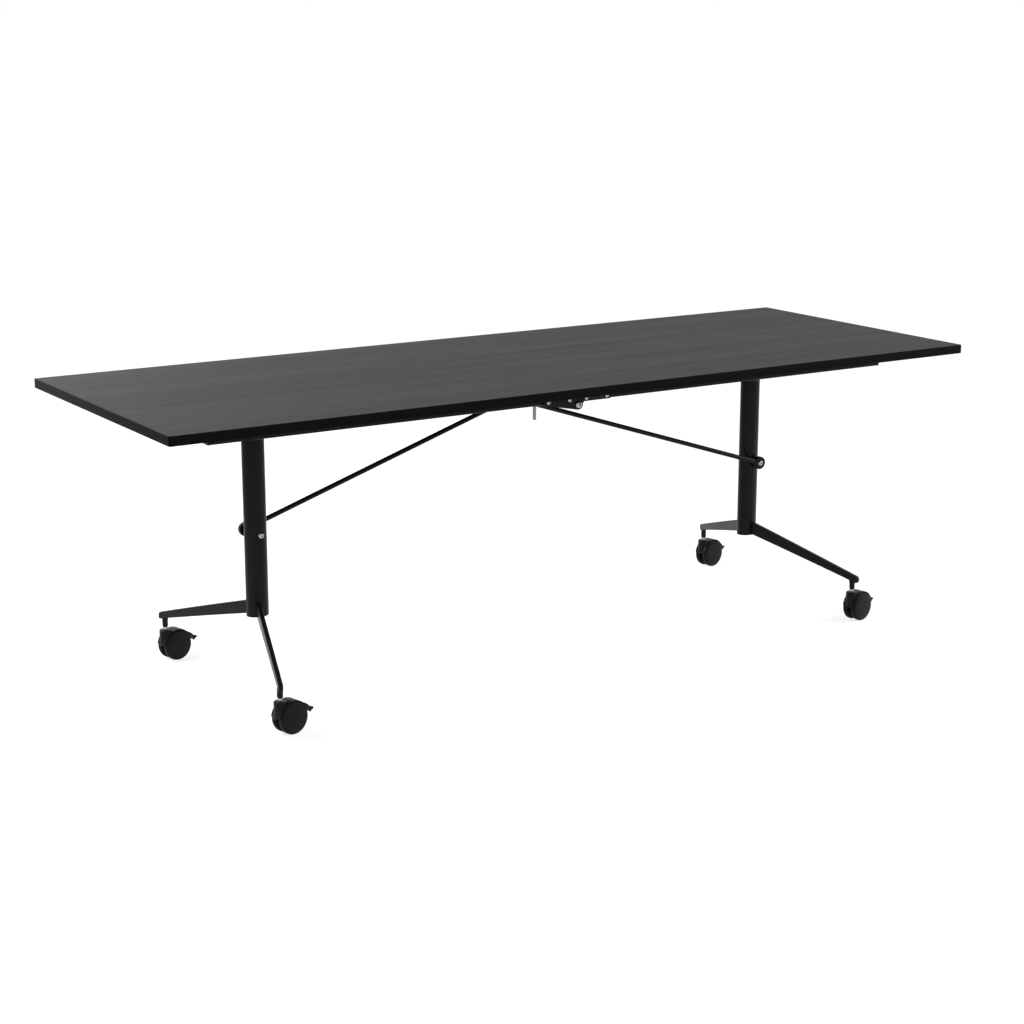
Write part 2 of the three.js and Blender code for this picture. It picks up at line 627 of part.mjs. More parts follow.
function strut(side) {
  const run = new THREE.Vector2(-STRUT_REACH - STRUT_LOW_X, STRUT_HIGH_Z - STRUT_LOW_Z);
  const group = new THREE.Group();
  group.position.set(STRUT_LOW_X, -STRUT_Y, STRUT_LOW_Z);
  group.rotation.y = -run.angle();
  group.add(piece(`${side}_strut`, BLACK_POWDER_COAT, strutRod(run.length())));
  group.add(piece(`${side}_strut_screw`, BRIGHT_STEEL, strutScrew()));
  return group;
}

// The slide bolt and its handle, beside the left front rail, with the bolt drawn back

function latchBolt() {
  const tip = -(RAIL_START + LATCH_TIP_INSET);
  const tail = -(HANDLE_X + LATCH_TAIL);
  const radius = LATCH_DIAMETER / 2;
  const rod = new THREE.CylinderGeometry(radius, radius, tip - tail, FACETS);
  rod.rotateZ(Math.PI / 2).translate((tip + tail) / 2, -LATCH_Y, LATCH_Z);
  const socket = barAlongZ(HANDLE_DIAMETER + 2 * FIT, LATCH_Z - LATCH_DIAMETER, LATCH_Z);
  return cut(rod, socket.translate(-HANDLE_X, -LATCH_Y, 0));
}

function latchHandle() {
  const radius = HANDLE_DIAMETER / 2;
  const low = LATCH_Z - HANDLE_LENGTH;
  const profile = [[0, low], [radius - HANDLE_TIP_EASE, low], [radius, low + HANDLE_TIP_EASE]];
  profile.push([radius, LATCH_Z - FIT], [0, LATCH_Z - FIT]);
  return turned(profile).rotateX(Math.PI / 2).translate(-HANDLE_X, -LATCH_Y, 0);
}

// The castor: the stem axis stands at x = 0, y = 0, and the wheels trail towards +X.

const WHEEL_RADIUS = WHEEL_DIAMETER / 2;
const WHEEL_INNER_FACE = WEB_THICKNESS / 2 + WHEEL_SIDE_GAP;
const WHEEL_OUTER_FACE = WHEEL_INNER_FACE + WHEEL_WIDTH;
const FENDER_INSIDE = WHEEL_RADIUS + FENDER_GAP;
const FENDER_OUTSIDE = FENDER_INSIDE + FENDER_WALL;
const WHEEL_ROOM_RADIUS = WHEEL_RADIUS + WHEEL_ROOM_GAP;
const BRAKE_RADIUS = FENDER_OUTSIDE + BRAKE_STANDOFF;
const BRAKE_X = CASTOR_TRAIL + BRAKE_RADIUS * Math.cos(BRAKE_ANGLE);
const BRAKE_Z = WHEEL_RADIUS + BRAKE_RADIUS * Math.sin(BRAKE_ANGLE);

function castorStem() {
  const pin = STEM_DIAMETER / 2;
  const collar = COLLAR_DIAMETER / 2;
  const low = CASTOR_HEIGHT - STEM_DEPTH;
  const collarTop = COLLAR_BOTTOM + COLLAR_HEIGHT;
  const high = SOCKET_BOTTOM + STEM_HEIGHT;
  const profile = [[0, low], [pin, low], [pin, COLLAR_BOTTOM], [collar, COLLAR_BOTTOM]];
  profile.push([collar, collarTop], [pin, collarTop], [pin, high], [0, high]);
  return turned(profile, FEW_FACETS).rotateX(Math.PI / 2);
}

// A hood over both wheels, a web between them that carries the axle, a barrel for the stem and
// two ears for the brake lever, moulded in one piece
function castorHousing() {
  const hood = new THREE.Shape();
  hood.absarc(CASTOR_TRAIL, WHEEL_RADIUS, FENDER_OUTSIDE, FENDER_START, FENDER_END);
  hood.absarc(CASTOR_TRAIL, WHEEL_RADIUS, FENDER_INSIDE, FENDER_END, FENDER_START, true);
  hood.closePath();
  const web = new THREE.Shape();
  web.absarc(CASTOR_TRAIL, WHEEL_RADIUS, FENDER_INSIDE + FENDER_WALL / 2, FENDER_START, FENDER_END);
  web.absarc(CASTOR_TRAIL, WHEEL_RADIUS, WEB_HUB_DIAMETER / 2, FENDER_END, FENDER_START + Math.PI * 2);
  web.closePath();
  const barrel = barAlongZ(BARREL_DIAMETER, CASTOR_HEIGHT - BARREL_SKIRT, CASTOR_HEIGHT);
  const earInside = BRAKE_WIDTH / 2 + FIT;
  const ears = [-1, 1].map((sign) => {
    const faces = [sign * earInside, sign * (earInside + BRAKE_EAR_THICKNESS)];
    const ear = barAlongY(BRAKE_EAR_DIAMETER, Math.min(...faces), Math.max(...faces), FEW_FACETS);
    return ear.translate(BRAKE_X, 0, BRAKE_Z);
  });
  const moulding = joined(
    extrudeAlongY(hood, -FENDER_WIDTH / 2, FENDER_WIDTH / 2),
    extrudeAlongY(web, -WEB_THICKNESS / 2, WEB_THICKNESS / 2, 4),
    barrel,
    ...ears,
  );
  const wheelRooms = [-1, 1].map((sign) => {
    const faces = [sign * WEB_THICKNESS / 2, sign * (WHEEL_OUTER_FACE + BARREL_DIAMETER)];
    const room = barAlongY(2 * WHEEL_ROOM_RADIUS, Math.min(...faces), Math.max(...faces), MANY_FACETS);
    return room.translate(CASTOR_TRAIL, 0, WHEEL_RADIUS);
  });
  const boreBottom = CASTOR_HEIGHT - STEM_DEPTH - FIT;
  const boreSize = STEM_DIAMETER + 2 * FIT;
  const stemBore = barAlongZ(boreSize, boreBottom, CASTOR_HEIGHT + OVERCUT, FEW_FACETS);
  const pinReach = 2 * WHEEL_OUTER_FACE;
  const pinBore = barAlongY(BRAKE_PIN_DIAMETER + 2 * FIT, -pinReach, pinReach, FEW_FACETS);
  pinBore.translate(BRAKE_X, 0, BRAKE_Z);
  const axleEnd = WHEEL_OUTER_FACE - WHEEL_DISH;
  const axle = barAlongY(AXLE_DIAMETER, -axleEnd, axleEnd).translate(CASTOR_TRAIL, 0, WHEEL_RADIUS);
  return joined(cut(moulding, ...wheelRooms, stemBore, pinBore), axle);
}

// A wheel with a rounded tread and a dished outer face, on the side given by the sign
function castorWheel(sign) {
  const bore = AXLE_DIAMETER / 2 + FIT;
  const rim = WHEEL_RIM_DIAMETER / 2;
  const hub = WHEEL_HUB_DIAMETER / 2;
  const round = WHEEL_TREAD_RADIUS;
  const outer = WHEEL_OUTER_FACE;
  const inner = WHEEL_INNER_FACE;
  const profile = [[bore, inner], [WHEEL_RADIUS - round, inner], [WHEEL_RADIUS, inner + round]];
  profile.push([WHEEL_RADIUS, outer - round], [WHEEL_RADIUS - round, outer], [rim, outer]);
  profile.push([rim - WHEEL_DISH, outer - WHEEL_DISH], [hub, outer - WHEEL_DISH / 2]);
  profile.push([bore, outer - WHEEL_DISH / 2], [bore, inner]);
  const wheel = turned(profile, MANY_FACETS);
  if (sign < 0) {
    wheel.rotateX(Math.PI);
  }
  return wheel.translate(CASTOR_TRAIL, 0, WHEEL_RADIUS);
}

// A pedal with an upturned lip, on a round barrel whose ends turn in the ears
function brakeLever() {
  const half = BRAKE_WIDTH / 2;
  const pedal = new THREE.Shape();
  const lip = BRAKE_PAD_THICKNESS / 2;
  pedal.moveTo(0, -lip);
  pedal.lineTo(BRAKE_PAD_FLAT, -lip);
  pedal.lineTo(BRAKE_LENGTH, -lip + BRAKE_PAD_UPTURN);
  pedal.lineTo(BRAKE_LENGTH, lip + BRAKE_PAD_UPTURN);
  pedal.lineTo(BRAKE_PAD_FLAT, lip);
  pedal.lineTo(0, lip);
  pedal.closePath();
  const plan = new THREE.Shape();
  plan.moveTo(0, -half);
  plan.lineTo(BRAKE_LENGTH, -BRAKE_TIP_WIDTH / 2);
  plan.lineTo(BRAKE_LENGTH, BRAKE_TIP_WIDTH / 2);
  plan.lineTo(0, half);
  plan.closePath();
  const pinEnd = half + FIT + BRAKE_EAR_THICKNESS;
  const lever = joined(
    shared(extrudeAlongY(pedal, -half, half), extrudeAlongZ(plan, -BRAKE_LENGTH, BRAKE_LENGTH)),
    barAlongY(BRAKE_BARREL_DIAMETER, -half, half, FEW_FACETS),
    barAlongY(BRAKE_PIN_DIAMETER, -pinEnd, pinEnd, FEW_FACETS),
  );
  return lever.translate(BRAKE_X, 0, BRAKE_Z);
}

function castor(name) {
  const group = new THREE.Group();
  group.rotation.z = CASTOR_TURN;
  group.add(piece(`${name}_castor_stem`, BRIGHT_STEEL, castorStem()));
  group.add(piece(`${name}_castor_housing`, BLACK_NYLON, castorHousing()));
  group.add(piece(`${name}_castor_wheel_near`, WHEEL_POLYMER, castorWheel(-1)));
  group.add(piece(`${name}_castor_wheel_far`, WHEEL_POLYMER, castorWheel(1)));
  group.add(piece(`${name}_castor_brake_lever`, BLACK_NYLON, brakeLever()));
  return group;
}

// The two ends of the table are the same assembly, turned half round.
const table = new THREE.Group();
const ENDS = [
  { side: "right", turn: 0, near: "front", far: "rear" },
  { side: "left", turn: Math.PI, near: "rear", far: "front" },
];
for (const { side, turn, near, far } of ENDS) {
  const end = new THREE.Group();
  end.rotation.z = turn;
  end.add(worktopHalf(side, near, far), leg(side, near, far), strut(side));
  end.add(piece(`${near}_hinge_bolt`, BRIGHT_STEEL, hingeBolt()));
  table.add(end);
}
table.add(piece("latch_bolt", ZINC_PLATE, latchBolt()));
table.add(piece("latch_handle", ZINC_PLATE, latchHandle()));
for (const [side, signX] of [["left", -1], ["right", 1]]) {
  for (const [edge, signY] of [["front", -1], ["rear", 1]]) {
    const unit = castor(`${side}_${edge}`);
    unit.position.set(signX * (LEG_X + FOOT_REACH), (signY * FOOT_SPREAD) / 2, 0);
    table.add(unit);
  }
}

export default table;
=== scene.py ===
"""Looks of a centre-folding training table: finishes, fine pieces and a studio stage."""

import json
import math

import bmesh
import bpy
from bpy.props import FloatProperty, FloatVectorProperty, PointerProperty
from mathutils import Matrix, Vector


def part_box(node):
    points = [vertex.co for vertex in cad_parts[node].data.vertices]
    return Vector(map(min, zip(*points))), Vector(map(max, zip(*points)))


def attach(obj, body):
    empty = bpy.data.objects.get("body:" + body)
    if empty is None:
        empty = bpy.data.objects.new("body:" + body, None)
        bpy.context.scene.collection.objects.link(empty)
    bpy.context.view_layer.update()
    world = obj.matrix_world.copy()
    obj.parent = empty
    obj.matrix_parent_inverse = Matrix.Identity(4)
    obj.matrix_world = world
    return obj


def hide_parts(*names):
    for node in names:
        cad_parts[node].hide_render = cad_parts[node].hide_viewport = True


bl_info = {
    "name": "Folding training table",
    "version": (1, 0, 0),
    "blender": (4, 5, 0),
    "location": "View3D > Sidebar > Table",
    "description": "Finishes and fine pieces of a centre-folding training table on castors",
    "category": "Object",
}

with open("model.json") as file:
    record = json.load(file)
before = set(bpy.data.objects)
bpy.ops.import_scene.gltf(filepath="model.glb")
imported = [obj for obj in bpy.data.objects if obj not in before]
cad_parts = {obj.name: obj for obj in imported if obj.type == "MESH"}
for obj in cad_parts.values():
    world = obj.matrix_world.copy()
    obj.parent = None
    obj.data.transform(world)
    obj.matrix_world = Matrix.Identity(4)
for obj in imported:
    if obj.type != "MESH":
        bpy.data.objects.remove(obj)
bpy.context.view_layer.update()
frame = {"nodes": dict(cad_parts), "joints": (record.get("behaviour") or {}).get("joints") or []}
JOINTS = {joint["name"]: joint for joint in frame["joints"]}

MM = 0.001
TINY = 1e-6
# Ends along X and long edges along Y, each with its direction from the middle of the table
SIDES = {"left": -1, "right": 1}
EDGES = {"front": -1, "rear": 1}
LEG_JOINTS = {"left": "fold", "right": "right_leg_pivot"}
# Angles between faces: edges that are rounded, true corners alone, and edges shaded as sharp
FAIR = math.radians(35)
SHARP = math.radians(60)
CREASE = math.radians(38)
# A button head's dome from its seat to its crown, in shares of its radius and rise
BUTTON_DOME = ((1, 0), (1, 0.25), (0.92, 0.55), (0.76, 0.82))
# Its socket's radius as a share of the diameter, and the socket's floor as a share of the rise
SOCKET_RADIUS = 0.22
SOCKET_FLOOR = 0.35


def linear(hex_colour):
    """Linear RGB of an sRGB hex colour."""
    channels = [int(hex_colour[i : i + 2], 16) / 255 for i in (1, 3, 5)]
    return tuple(c / 12.92 if c <= 0.04045 else ((c + 0.055) / 1.055) ** 2.4 for c in channels)


def colour_property(name, hex_colour, description):
    """A colour that the user can change, written as an sRGB hex value."""
    return FloatVectorProperty(
        name=name,
        description=description,
        subtype="COLOR",
        size=3,
        min=0,
        max=1,
        default=linear(hex_colour),
    )


def length_property(name, millimetres, description):
    """A length that the user can change, written in millimetres."""
    return FloatProperty(
        name=name,
        description=description,
        unit="LENGTH",
        min=0,
        precision=4,
        default=millimetres * MM,
    )


class TableColours(bpy.types.PropertyGroup):
    """Colours of the finishes."""

    laminate: colour_property("Laminate", "#333335", "Ground colour of the worktop")
    laminate_grain: colour_property("Laminate grain", "#2c2c2e", "Dark streaks of the grain")
    edging: colour_property("Edging", "#1b1b1c", "Band round the worktop")
    powder_coat: colour_property("Powder coat", "#141415", "Steel frame and legs")
    nylon: colour_property("Nylon", "#101011", "Castor housings, brake levers and plugs")
    tread: colour_property("Tread", "#161617", "Running surface of the wheels")
    wheel_disc: colour_property("Wheel disc", "#131314", "Sides of the wheels")
    zinc: colour_property("Zinc", "#77797c", "Screws and clevis bolts")
    slide_zinc: colour_property("Slide zinc", "#98999b", "Slide bolt and its handle")
    nickel: colour_property("Nickel", "#a4a6a8", "Hinge bolts, strut screws and castor stems")
    floor: colour_property("Floor", "#bcbcbc", "Studio floor, without its glow")


class TableSizes(bpy.types.PropertyGroup):
    """Sizes of the pieces that the finished table adds to its frame."""

    top_corner: length_property("Worktop corner", 6, "Radius of the worktop's corners")
    band: length_property("Edge band", 2, "Thickness of the band round the worktop")
    band_ease: length_property("Band rounding", 1.5, "Rounded edges of the band")
    tube_diameter: length_property("Cross tube", 38, "Outside diameter of the cross tubes")
    spigot_diameter: length_property("Spigot", 16, "Diameter of the cross tubes' pivots")
    column_width: length_property("Column width", 55, "Column, along the table")
    column_depth: length_property("Column depth", 44, "Column, across the table")
    boss_diameter: length_property("Strut boss", 22, "Boss on the column that carries the strut")
    arm_thickness: length_property("Arm thickness", 11, "Foot arm, across its blade")
    arm_root: length_property("Arm root", 34, "Depth of the foot arm at the column")
    arm_tip: length_property("Arm tip", 18, "Depth of the foot arm at the castor")
    arm_nose: length_property("Arm nose", 18, "Foot arm, past the axis of the castor's stem")
    arm_bow: length_property("Arm bow", 1.5, "Rise of the arm's edges above a straight line")
    arm_ease: length_property("Arm rounding", 1.3, "Rounded edges of the foot arm")
    socket_diameter: length_property("Castor socket", 14, "Socket under the foot arm's tip")
    socket_drop: length_property("Socket drop", 20, "Socket, below the foot arm's tip")
    strut_diameter: length_property("Strut", 12, "Diameter of the strut's rod")
    eye_thickness: length_property("Strut eye", 13, "Thickness of the strut's eyes")
    outer_eye: length_property("Outer eye", 34, "Diameter of the strut's eye at the leg")
    inner_eye: length_property("Inner eye", 22, "Diameter of the strut's eye at the worktop")
    wheel_diameter: length_property("Wheel", 75, "Diameter of the castor wheels")
    wheel_width: length_property("Wheel width", 16, "Width of each castor wheel")
    handle_diameter: length_property("Latch handle", 8.4, "Diameter of the slide bolt's handle")
    stem_diameter: length_property("Stem", 7.4, "Diameter of the castor's stem")
    collar_diameter: length_property("Stem collar", 12, "Diameter of the collar on the stem")
    screw_head: length_property("Screw head", 10.5, "Diameter of the button-head screws")
    screw_rise: length_property("Screw rise", 3.2, "Height of the button heads")
    plug_head: length_property("Rail plug", 2.5, "Thickness of the rail plugs' heads")


def sizes():
    return bpy.context.scene.table_sizes


def colours():
    return bpy.context.scene.table_colours


# Finishes


def rgba(colour, shade=1):
    """A colour with full alpha, made darker or lighter by a factor."""
    return (*(shade * channel for channel in colour), 1)


def add_node(tree, kind, output=0, values=None, links=None, **settings):
    """Add a node with its settings, values and links. Gives an output, or the node for None."""
    node = tree.nodes.new(kind)
    for name, value in settings.items():
        setattr(node, name, value)
    for socket, value in (values or {}).items():
        node.inputs[socket].default_value = value
    for socket, source in (links or {}).items():
        tree.links.new(source, node.inputs[socket])
    return node if output is None else node.outputs[output]


def start_finish(name, colour, **sockets):
    """A material with one principled shader, and the material's tree."""
    material = bpy.data.materials.new(name)
    material.use_nodes = True
    material.diffuse_color = rgba(colour)
    tree = material.node_tree
    inputs = tree.nodes["Principled BSDF"].inputs
    inputs["Base Color"].default_value = rgba(colour)
    for socket, value in sockets.items():
        inputs[socket.replace("_", " ")].default_value = value
    return material, tree


def lead(tree, **sources):
    """Lead outputs to the sockets of the tree's shader."""
    inputs = tree.nodes["Principled BSDF"].inputs
    for socket, source in sources.items():
        tree.links.new(source, inputs[socket.replace("_", " ")])


def pattern_space(tree, *size):
    """Object coordinates with one unit to a size in metres, one for all axes or one for each."""
    lengths = size if len(size) == 3 else 3 * size
    return add_node(
        tree,
        "ShaderNodeMapping",
        values={"Scale": tuple(1 / length for length in lengths)},
        links={"Vector": add_node(tree, "ShaderNodeTexCoord", output="Object")},
    )


def spread(low, high, start=0.3, end=0.7):
    """Map Range values that carry a pattern's usual range to a low and a high value."""
    return {"From Min": start, "From Max": end, "To Min": low, "To Max": high}


def woodgrain_laminate():
    # Melamine-faced board printed with a dark ash and pressed with its pore. It gives an even, dull
    # grey with slow lighter and darker bands along the length and thin, broken darker streaks.
    ground = colours().laminate
    grain = colours().laminate_grain
    material, tree = start_finish("woodgrain_laminate", ground, IOR=1.5, Specular_IOR_Level=0.1)
    # Figure of the print: bands about 60 mm wide and 1.6 m long
    figure = add_node(
        tree,
        "ShaderNodeTexNoise",
        values={"Scale": 1.0, "Detail": 3.0, "Roughness": 0.55, "Distortion": 0.3},
        links={"Vector": pattern_space(tree, 1600 * MM, 60 * MM, 60 * MM)},
    )
    # Streaks: real ones are about 2 mm wide, drawn 9 mm wide so that they show from 5 m
    streaks = add_node(
        tree,
        "ShaderNodeTexNoise",
        values={"Scale": 1.0, "Detail": 3.0, "Roughness": 0.6, "Distortion": 0.15},
        links={"Vector": pattern_space(tree, 400 * MM, 9 * MM, 9 * MM)},
    )
    # Pores: 1 mm wide and 22 mm long
    pores = add_node(
        tree,
        "ShaderNodeTexNoise",
        values={"Scale": 1.0, "Detail": 2.0, "Roughness": 0.5},
        links={"Vector": pattern_space(tree, 22 * MM, 1 * MM, 1 * MM)},
    )
    slow = add_node(
        tree, "ShaderNodeMapRange", values=spread(0.55, 1.0, 0.3, 0.6), links={"Value": figure}
    )
    thin = add_node(
        tree, "ShaderNodeMapRange", values=spread(0.25, 1.0, 0.34, 0.44), links={"Value": streaks}
    )
    share = add_node(tree, "ShaderNodeMath", operation="MULTIPLY", links={0: slow, 1: thin})
    toned = add_node(
        tree,
        "ShaderNodeMix",
        data_type="RGBA",
        output=2,
        values={6: rgba(grain), 7: rgba(ground)},
        links={0: share},
    )
    pore_depth = add_node(
        tree, "ShaderNodeMapRange", values=spread(0.0, 1.0, 0.32, 0.42), links={"Value": pores}
    )
    pored = add_node(
        tree,
        "ShaderNodeMix",
        data_type="RGBA",
        output=2,
        values={6: rgba(grain, 0.6)},
        links={0: pore_depth, 7: toned},
    )
    dull = add_node(
        tree, "ShaderNodeMapRange", values=spread(0.68, 0.58, 0.0, 1.0), links={"Value": share}
    )
    relief = add_node(
        tree,
        "ShaderNodeBump",
        values={"Strength": 0.35, "Distance": 0.06 * MM},
        links={"Height": pore_depth},
    )
    lead(tree, Base_Color=pored, Roughness=dull, Normal=relief)
    return material


def abs_edging():
    # Extruded ABS band, scraped and buffed after gluing. It gives a satin black with fine lines
    # along the edge. Its index is below that of ABS, because the near end is seen at a low angle
    # and would mirror the white studio.
    edging = colours().edging
    material, tree = start_finish("abs_edging", edging, IOR=1.2, Specular_IOR_Level=0.1)
    # Scraper marks: 0.4 mm apart on the real band, drawn 1.5 mm apart so that they show
    marks = add_node(
        tree,
        "ShaderNodeTexNoise",
        values={"Scale": 1.0, "Detail": 3.0, "Roughness": 0.6},
        links={"Vector": pattern_space(tree, 120 * MM, 120 * MM, 1.5 * MM)},
    )
    buffing = add_node(
        tree, "ShaderNodeMapRange", values=spread(0.42, 0.58), links={"Value": marks}
    )
    relief = add_node(
        tree,
        "ShaderNodeBump",
        values={"Strength": 0.2, "Distance": 0.04 * MM},
        links={"Height": marks},
    )
    lead(tree, Roughness=buffing, Normal=relief)
    return material


def black_powder_coat():
    # Polyester powder baked on steel. It gives a satin black with the soft ripple of orange peel
    # and a slightly uneven sheen.
    coat = colours().powder_coat
    material, tree = start_finish("black_powder_coat", coat, IOR=1.5, Specular_IOR_Level=0.12)
    # Orange peel: 1.5 mm across on the real coat, drawn 2.5 mm so that it shows
    peel = add_node(
        tree,
        "ShaderNodeTexNoise",
        values={"Scale": 1.0, "Detail": 2.0, "Roughness": 0.45},
        links={"Vector": pattern_space(tree, 2.5 * MM)},
    )
    # Sheen drifts over about 90 mm, as the powder went on thicker or thinner
    drift = add_node(
        tree,
        "ShaderNodeTexNoise",
        values={"Scale": 1.0, "Detail": 2.0},
        links={"Vector": pattern_space(tree, 90 * MM)},
    )
    sheen = add_node(tree, "ShaderNodeMapRange", values=spread(0.27, 0.35), links={"Value": drift})
    relief = add_node(
        tree,
        "ShaderNodeBump",
        values={"Strength": 0.3, "Distance": 0.05 * MM},
        links={"Height": peel},
    )
    lead(tree, Roughness=sheen, Normal=relief)
    return material


def plated_steel(name, zinc):
    # Barrel-plated steel with a clear passivate. It gives a dull grey metal with cloudy patches
    # where the pieces rubbed together.
    material, tree = start_finish(name, zinc, Metallic=1.0)
    # Clouds of the passivate: about 4 mm across
    clouds = add_node(
        tree,
        "ShaderNodeTexNoise",
        values={"Scale": 1.0, "Detail": 3.0, "Roughness": 0.55},
        links={"Vector": pattern_space(tree, 4 * MM)},
    )
    tint = add_node(
        tree,
        "ShaderNodeMix",
        data_type="RGBA",
        output=2,
        values={6: rgba(zinc, 0.8), 7: rgba(zinc)},
        links={0: clouds},
    )
    rubbed = add_node(tree, "ShaderNodeMapRange", values=spread(0.48, 0.6), links={"Value": clouds})
    lead(tree, Base_Color=tint, Roughness=rubbed)
    return material


def zinc_plate():
    return plated_steel("zinc_plate", colours().zinc)


def zinc_nickel_plate():
    return plated_steel("zinc_nickel_plate", colours().slide_zinc)


def bright_nickel():
    # Nickel over polished steel. It gives a clear reflection with a little haze.
    material, tree = start_finish("bright_nickel", colours().nickel, Metallic=1.0)
    # Polishing haze: about 1.5 mm across
    haze = add_node(
        tree,
        "ShaderNodeTexNoise",
        values={"Scale": 1.0, "Detail": 3.0},
        links={"Vector": pattern_space(tree, 1.5 * MM)},
    )
    polish = add_node(tree, "ShaderNodeMapRange", values=spread(0.24, 0.36), links={"Value": haze})
    lead(tree, Roughness=polish)
    return material


def moulded_nylon():
    # Glass-filled nylon from a spark-eroded mould. It gives a matt black with a fine leathery
    # texture and slight flow marks.
    nylon = colours().nylon
    material, tree = start_finish("moulded_nylon", nylon, IOR=1.53, Specular_IOR_Level=0.12)
    # Spark texture: 0.25 mm on the real moulding, drawn 0.9 mm so that it shows
    texture = add_node(
        tree,
        "ShaderNodeTexVoronoi",
        values={"Scale": 1.0, "Randomness": 1.0},
        links={"Vector": pattern_space(tree, 0.9 * MM)},
    )
    # Flow marks: about 14 mm across
    flow = add_node(
        tree,
        "ShaderNodeTexNoise",
        values={"Scale": 1.0, "Detail": 2.0, "Distortion": 0.8},
        links={"Vector": pattern_space(tree, 14 * MM)},
    )
    tint = add_node(
        tree,
        "ShaderNodeMix",
        data_type="RGBA",
        output=2,
        values={6: rgba(nylon), 7: rgba(nylon, 1.35)},
        links={0: flow},
    )
    matt = add_node(tree, "ShaderNodeMapRange", values=spread(0.32, 0.44), links={"Value": flow})
    relief = add_node(
        tree,
        "ShaderNodeBump",
        values={"Strength": 0.25, "Distance": 0.05 * MM},
        links={"Height": texture},
    )
    lead(tree, Base_Color=tint, Roughness=matt, Normal=relief)
    return material


def wheel_finish(name, colour, roughness, scuff):
    # Injection-moulded polymer, a soft tread and a harder disc. Each gives a near black with a
    # scuffed, slightly dusty surface; the disc is smoother.
    material, tree = start_finish(name, colour, IOR=1.5, Specular_IOR_Level=0.12)
    scuffs = add_node(
        tree,
        "ShaderNodeTexNoise",
        values={"Scale": 1.0, "Detail": 4.0, "Roughness": 0.65},
        links={"Vector": pattern_space(tree, scuff)},
    )
    tint = add_node(
        tree,
        "ShaderNodeMix",
        data_type="RGBA",
        output=2,
        values={6: rgba(colour), 7: rgba(colour, 1.5)},
        links={0: scuffs},
    )
    worn = add_node(
        tree,
        "ShaderNodeMapRange",
        values=spread(roughness - 0.06, roughness + 0.08),
        links={"Value": scuffs},
    )
    lead(tree, Base_Color=tint, Roughness=worn)
    return material


def polyurethane_tread():
    # Scuffs about 3 mm across
    return wheel_finish("polyurethane_tread", colours().tread, 0.58, 3 * MM)


def polypropylene_disc():
    # Scuffs about 6 mm across
    return wheel_finish("polypropylene_disc", colours().wheel_disc, 0.4, 6 * MM)


FINISHES = (
    woodgrain_laminate,
    abs_edging,
    black_powder_coat,
    zinc_plate,
    zinc_nickel_plate,
    bright_nickel,
    moulded_nylon,
    polyurethane_tread,
    polypropylene_disc,
)
MAKERS = {make.__name__: make for make in FINISHES}


def finish(name):
    """The named finish, made the first time that it is asked for."""
    return bpy.data.materials.get(name) or MAKERS[name]()


def dress(finish_name, *nodes):
    """Give CAD nodes a finish."""
    for node in nodes:
        slots = frame["nodes"][node].data.materials
        slots.clear()
        slots.append(finish(finish_name))


# Places


def pivot(joint):
    return Vector(JOINTS[joint]["pos_m"])


def middle_of(node):
    low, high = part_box(node)
    return (low + high) / 2


def face_of(node, sign):
    """Y of a node's front face where the sign is negative, and else of its rear face."""
    low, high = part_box(node)
    return low.y if sign < 0 else high.y


def at(place, axis=(0, 0, 1)):
    """The place of a piece whose own Z points along an axis."""
    turn = Vector((0, 0, 1)).rotation_difference(Vector(axis))
    return Matrix.Translation(place) @ turn.to_matrix().to_4x4()


# Shaping


def spun(bm, points, centre, axis, angle, steps, close=False):
    """Spin a line through some points about an axis. Gives all the vertices that this adds."""
    before = set(bm.verts)
    verts = [bm.verts.new(point) for point in points]
    edges = [bm.edges.new(pair) for pair in zip(verts, verts[1:])]
    bmesh.ops.spin(
        bm,
        geom=verts + edges,
        cent=centre,
        axis=axis,
        angle=angle,
        steps=steps,
        use_merge=close,
    )
    return [vert for vert in bm.verts if vert not in before]


def turned(bm, profile, place, steps=32):
    """Turn a profile of (radius, height) pairs about Z and set it in place."""
    points = [(radius, 0, height) for radius, height in profile]
    verts = spun(bm, points, (0, 0, 0), (0, 0, 1), math.tau, steps, close=True)
    bmesh.ops.remove_doubles(bm, verts=verts, dist=TINY)
    verts = [vert for vert in verts if vert.is_valid]
    bmesh.ops.transform(bm, matrix=place, verts=verts)
    return verts


def rod(bm, radius, low, high, place, steps=32):
    """A plain round bar along Z, from a low to a high mark, set in place."""
    middle = Matrix.Translation((0, 0, (low + high) / 2))
    made = bmesh.ops.create_cone(
        bm,
        cap_ends=True,
        segments=steps,
        radius1=radius,
        radius2=radius,
        depth=high - low,
        matrix=place @ middle,
    )
    return made["verts"]


def block(bm, size, middle):
    """A box of the given size about its middle."""
    place = Matrix.Translation(middle) @ Matrix.Diagonal((*size, 1))
    return bmesh.ops.create_cube(bm, size=1, matrix=place)["verts"]


def extruded(bm, faces):
    """Extrude some faces and give the vertices of the copy."""
    grown = bmesh.ops.extrude_face_region(bm, geom=faces)["geom"]
    return [item for item in grown if isinstance(item, bmesh.types.BMVert)]


def round_edges(bm, edges, width, segments, clamp=False):
    bmesh.ops.bevel(
        bm,
        geom=edges,
        offset=width,
        segments=segments,
        profile=0.5,
        affect="EDGES",
        material=-1,
        clamp_overlap=clamp,
    )
    bm.normal_update()


def ease(bm, verts, width, segments=2, sharper=FAIR):
    """Round the edges among some vertices that are sharper than an angle."""
    inside = set(verts)
    bm.normal_update()
    edges = [
        edge
        for edge in bm.edges
        if edge.verts[0] in inside
        and edge.verts[1] in inside
        and edge.is_manifold
        and edge.calc_face_angle(0) > sharper
    ]
    round_edges(bm, edges, width, segments, clamp=True)


def hump(share):
    """A half wave that rises from 0 at a share of 0 to 1 at the middle and falls to 0 at 1."""
    return math.sin(math.pi * min(max(share, 0), 1))


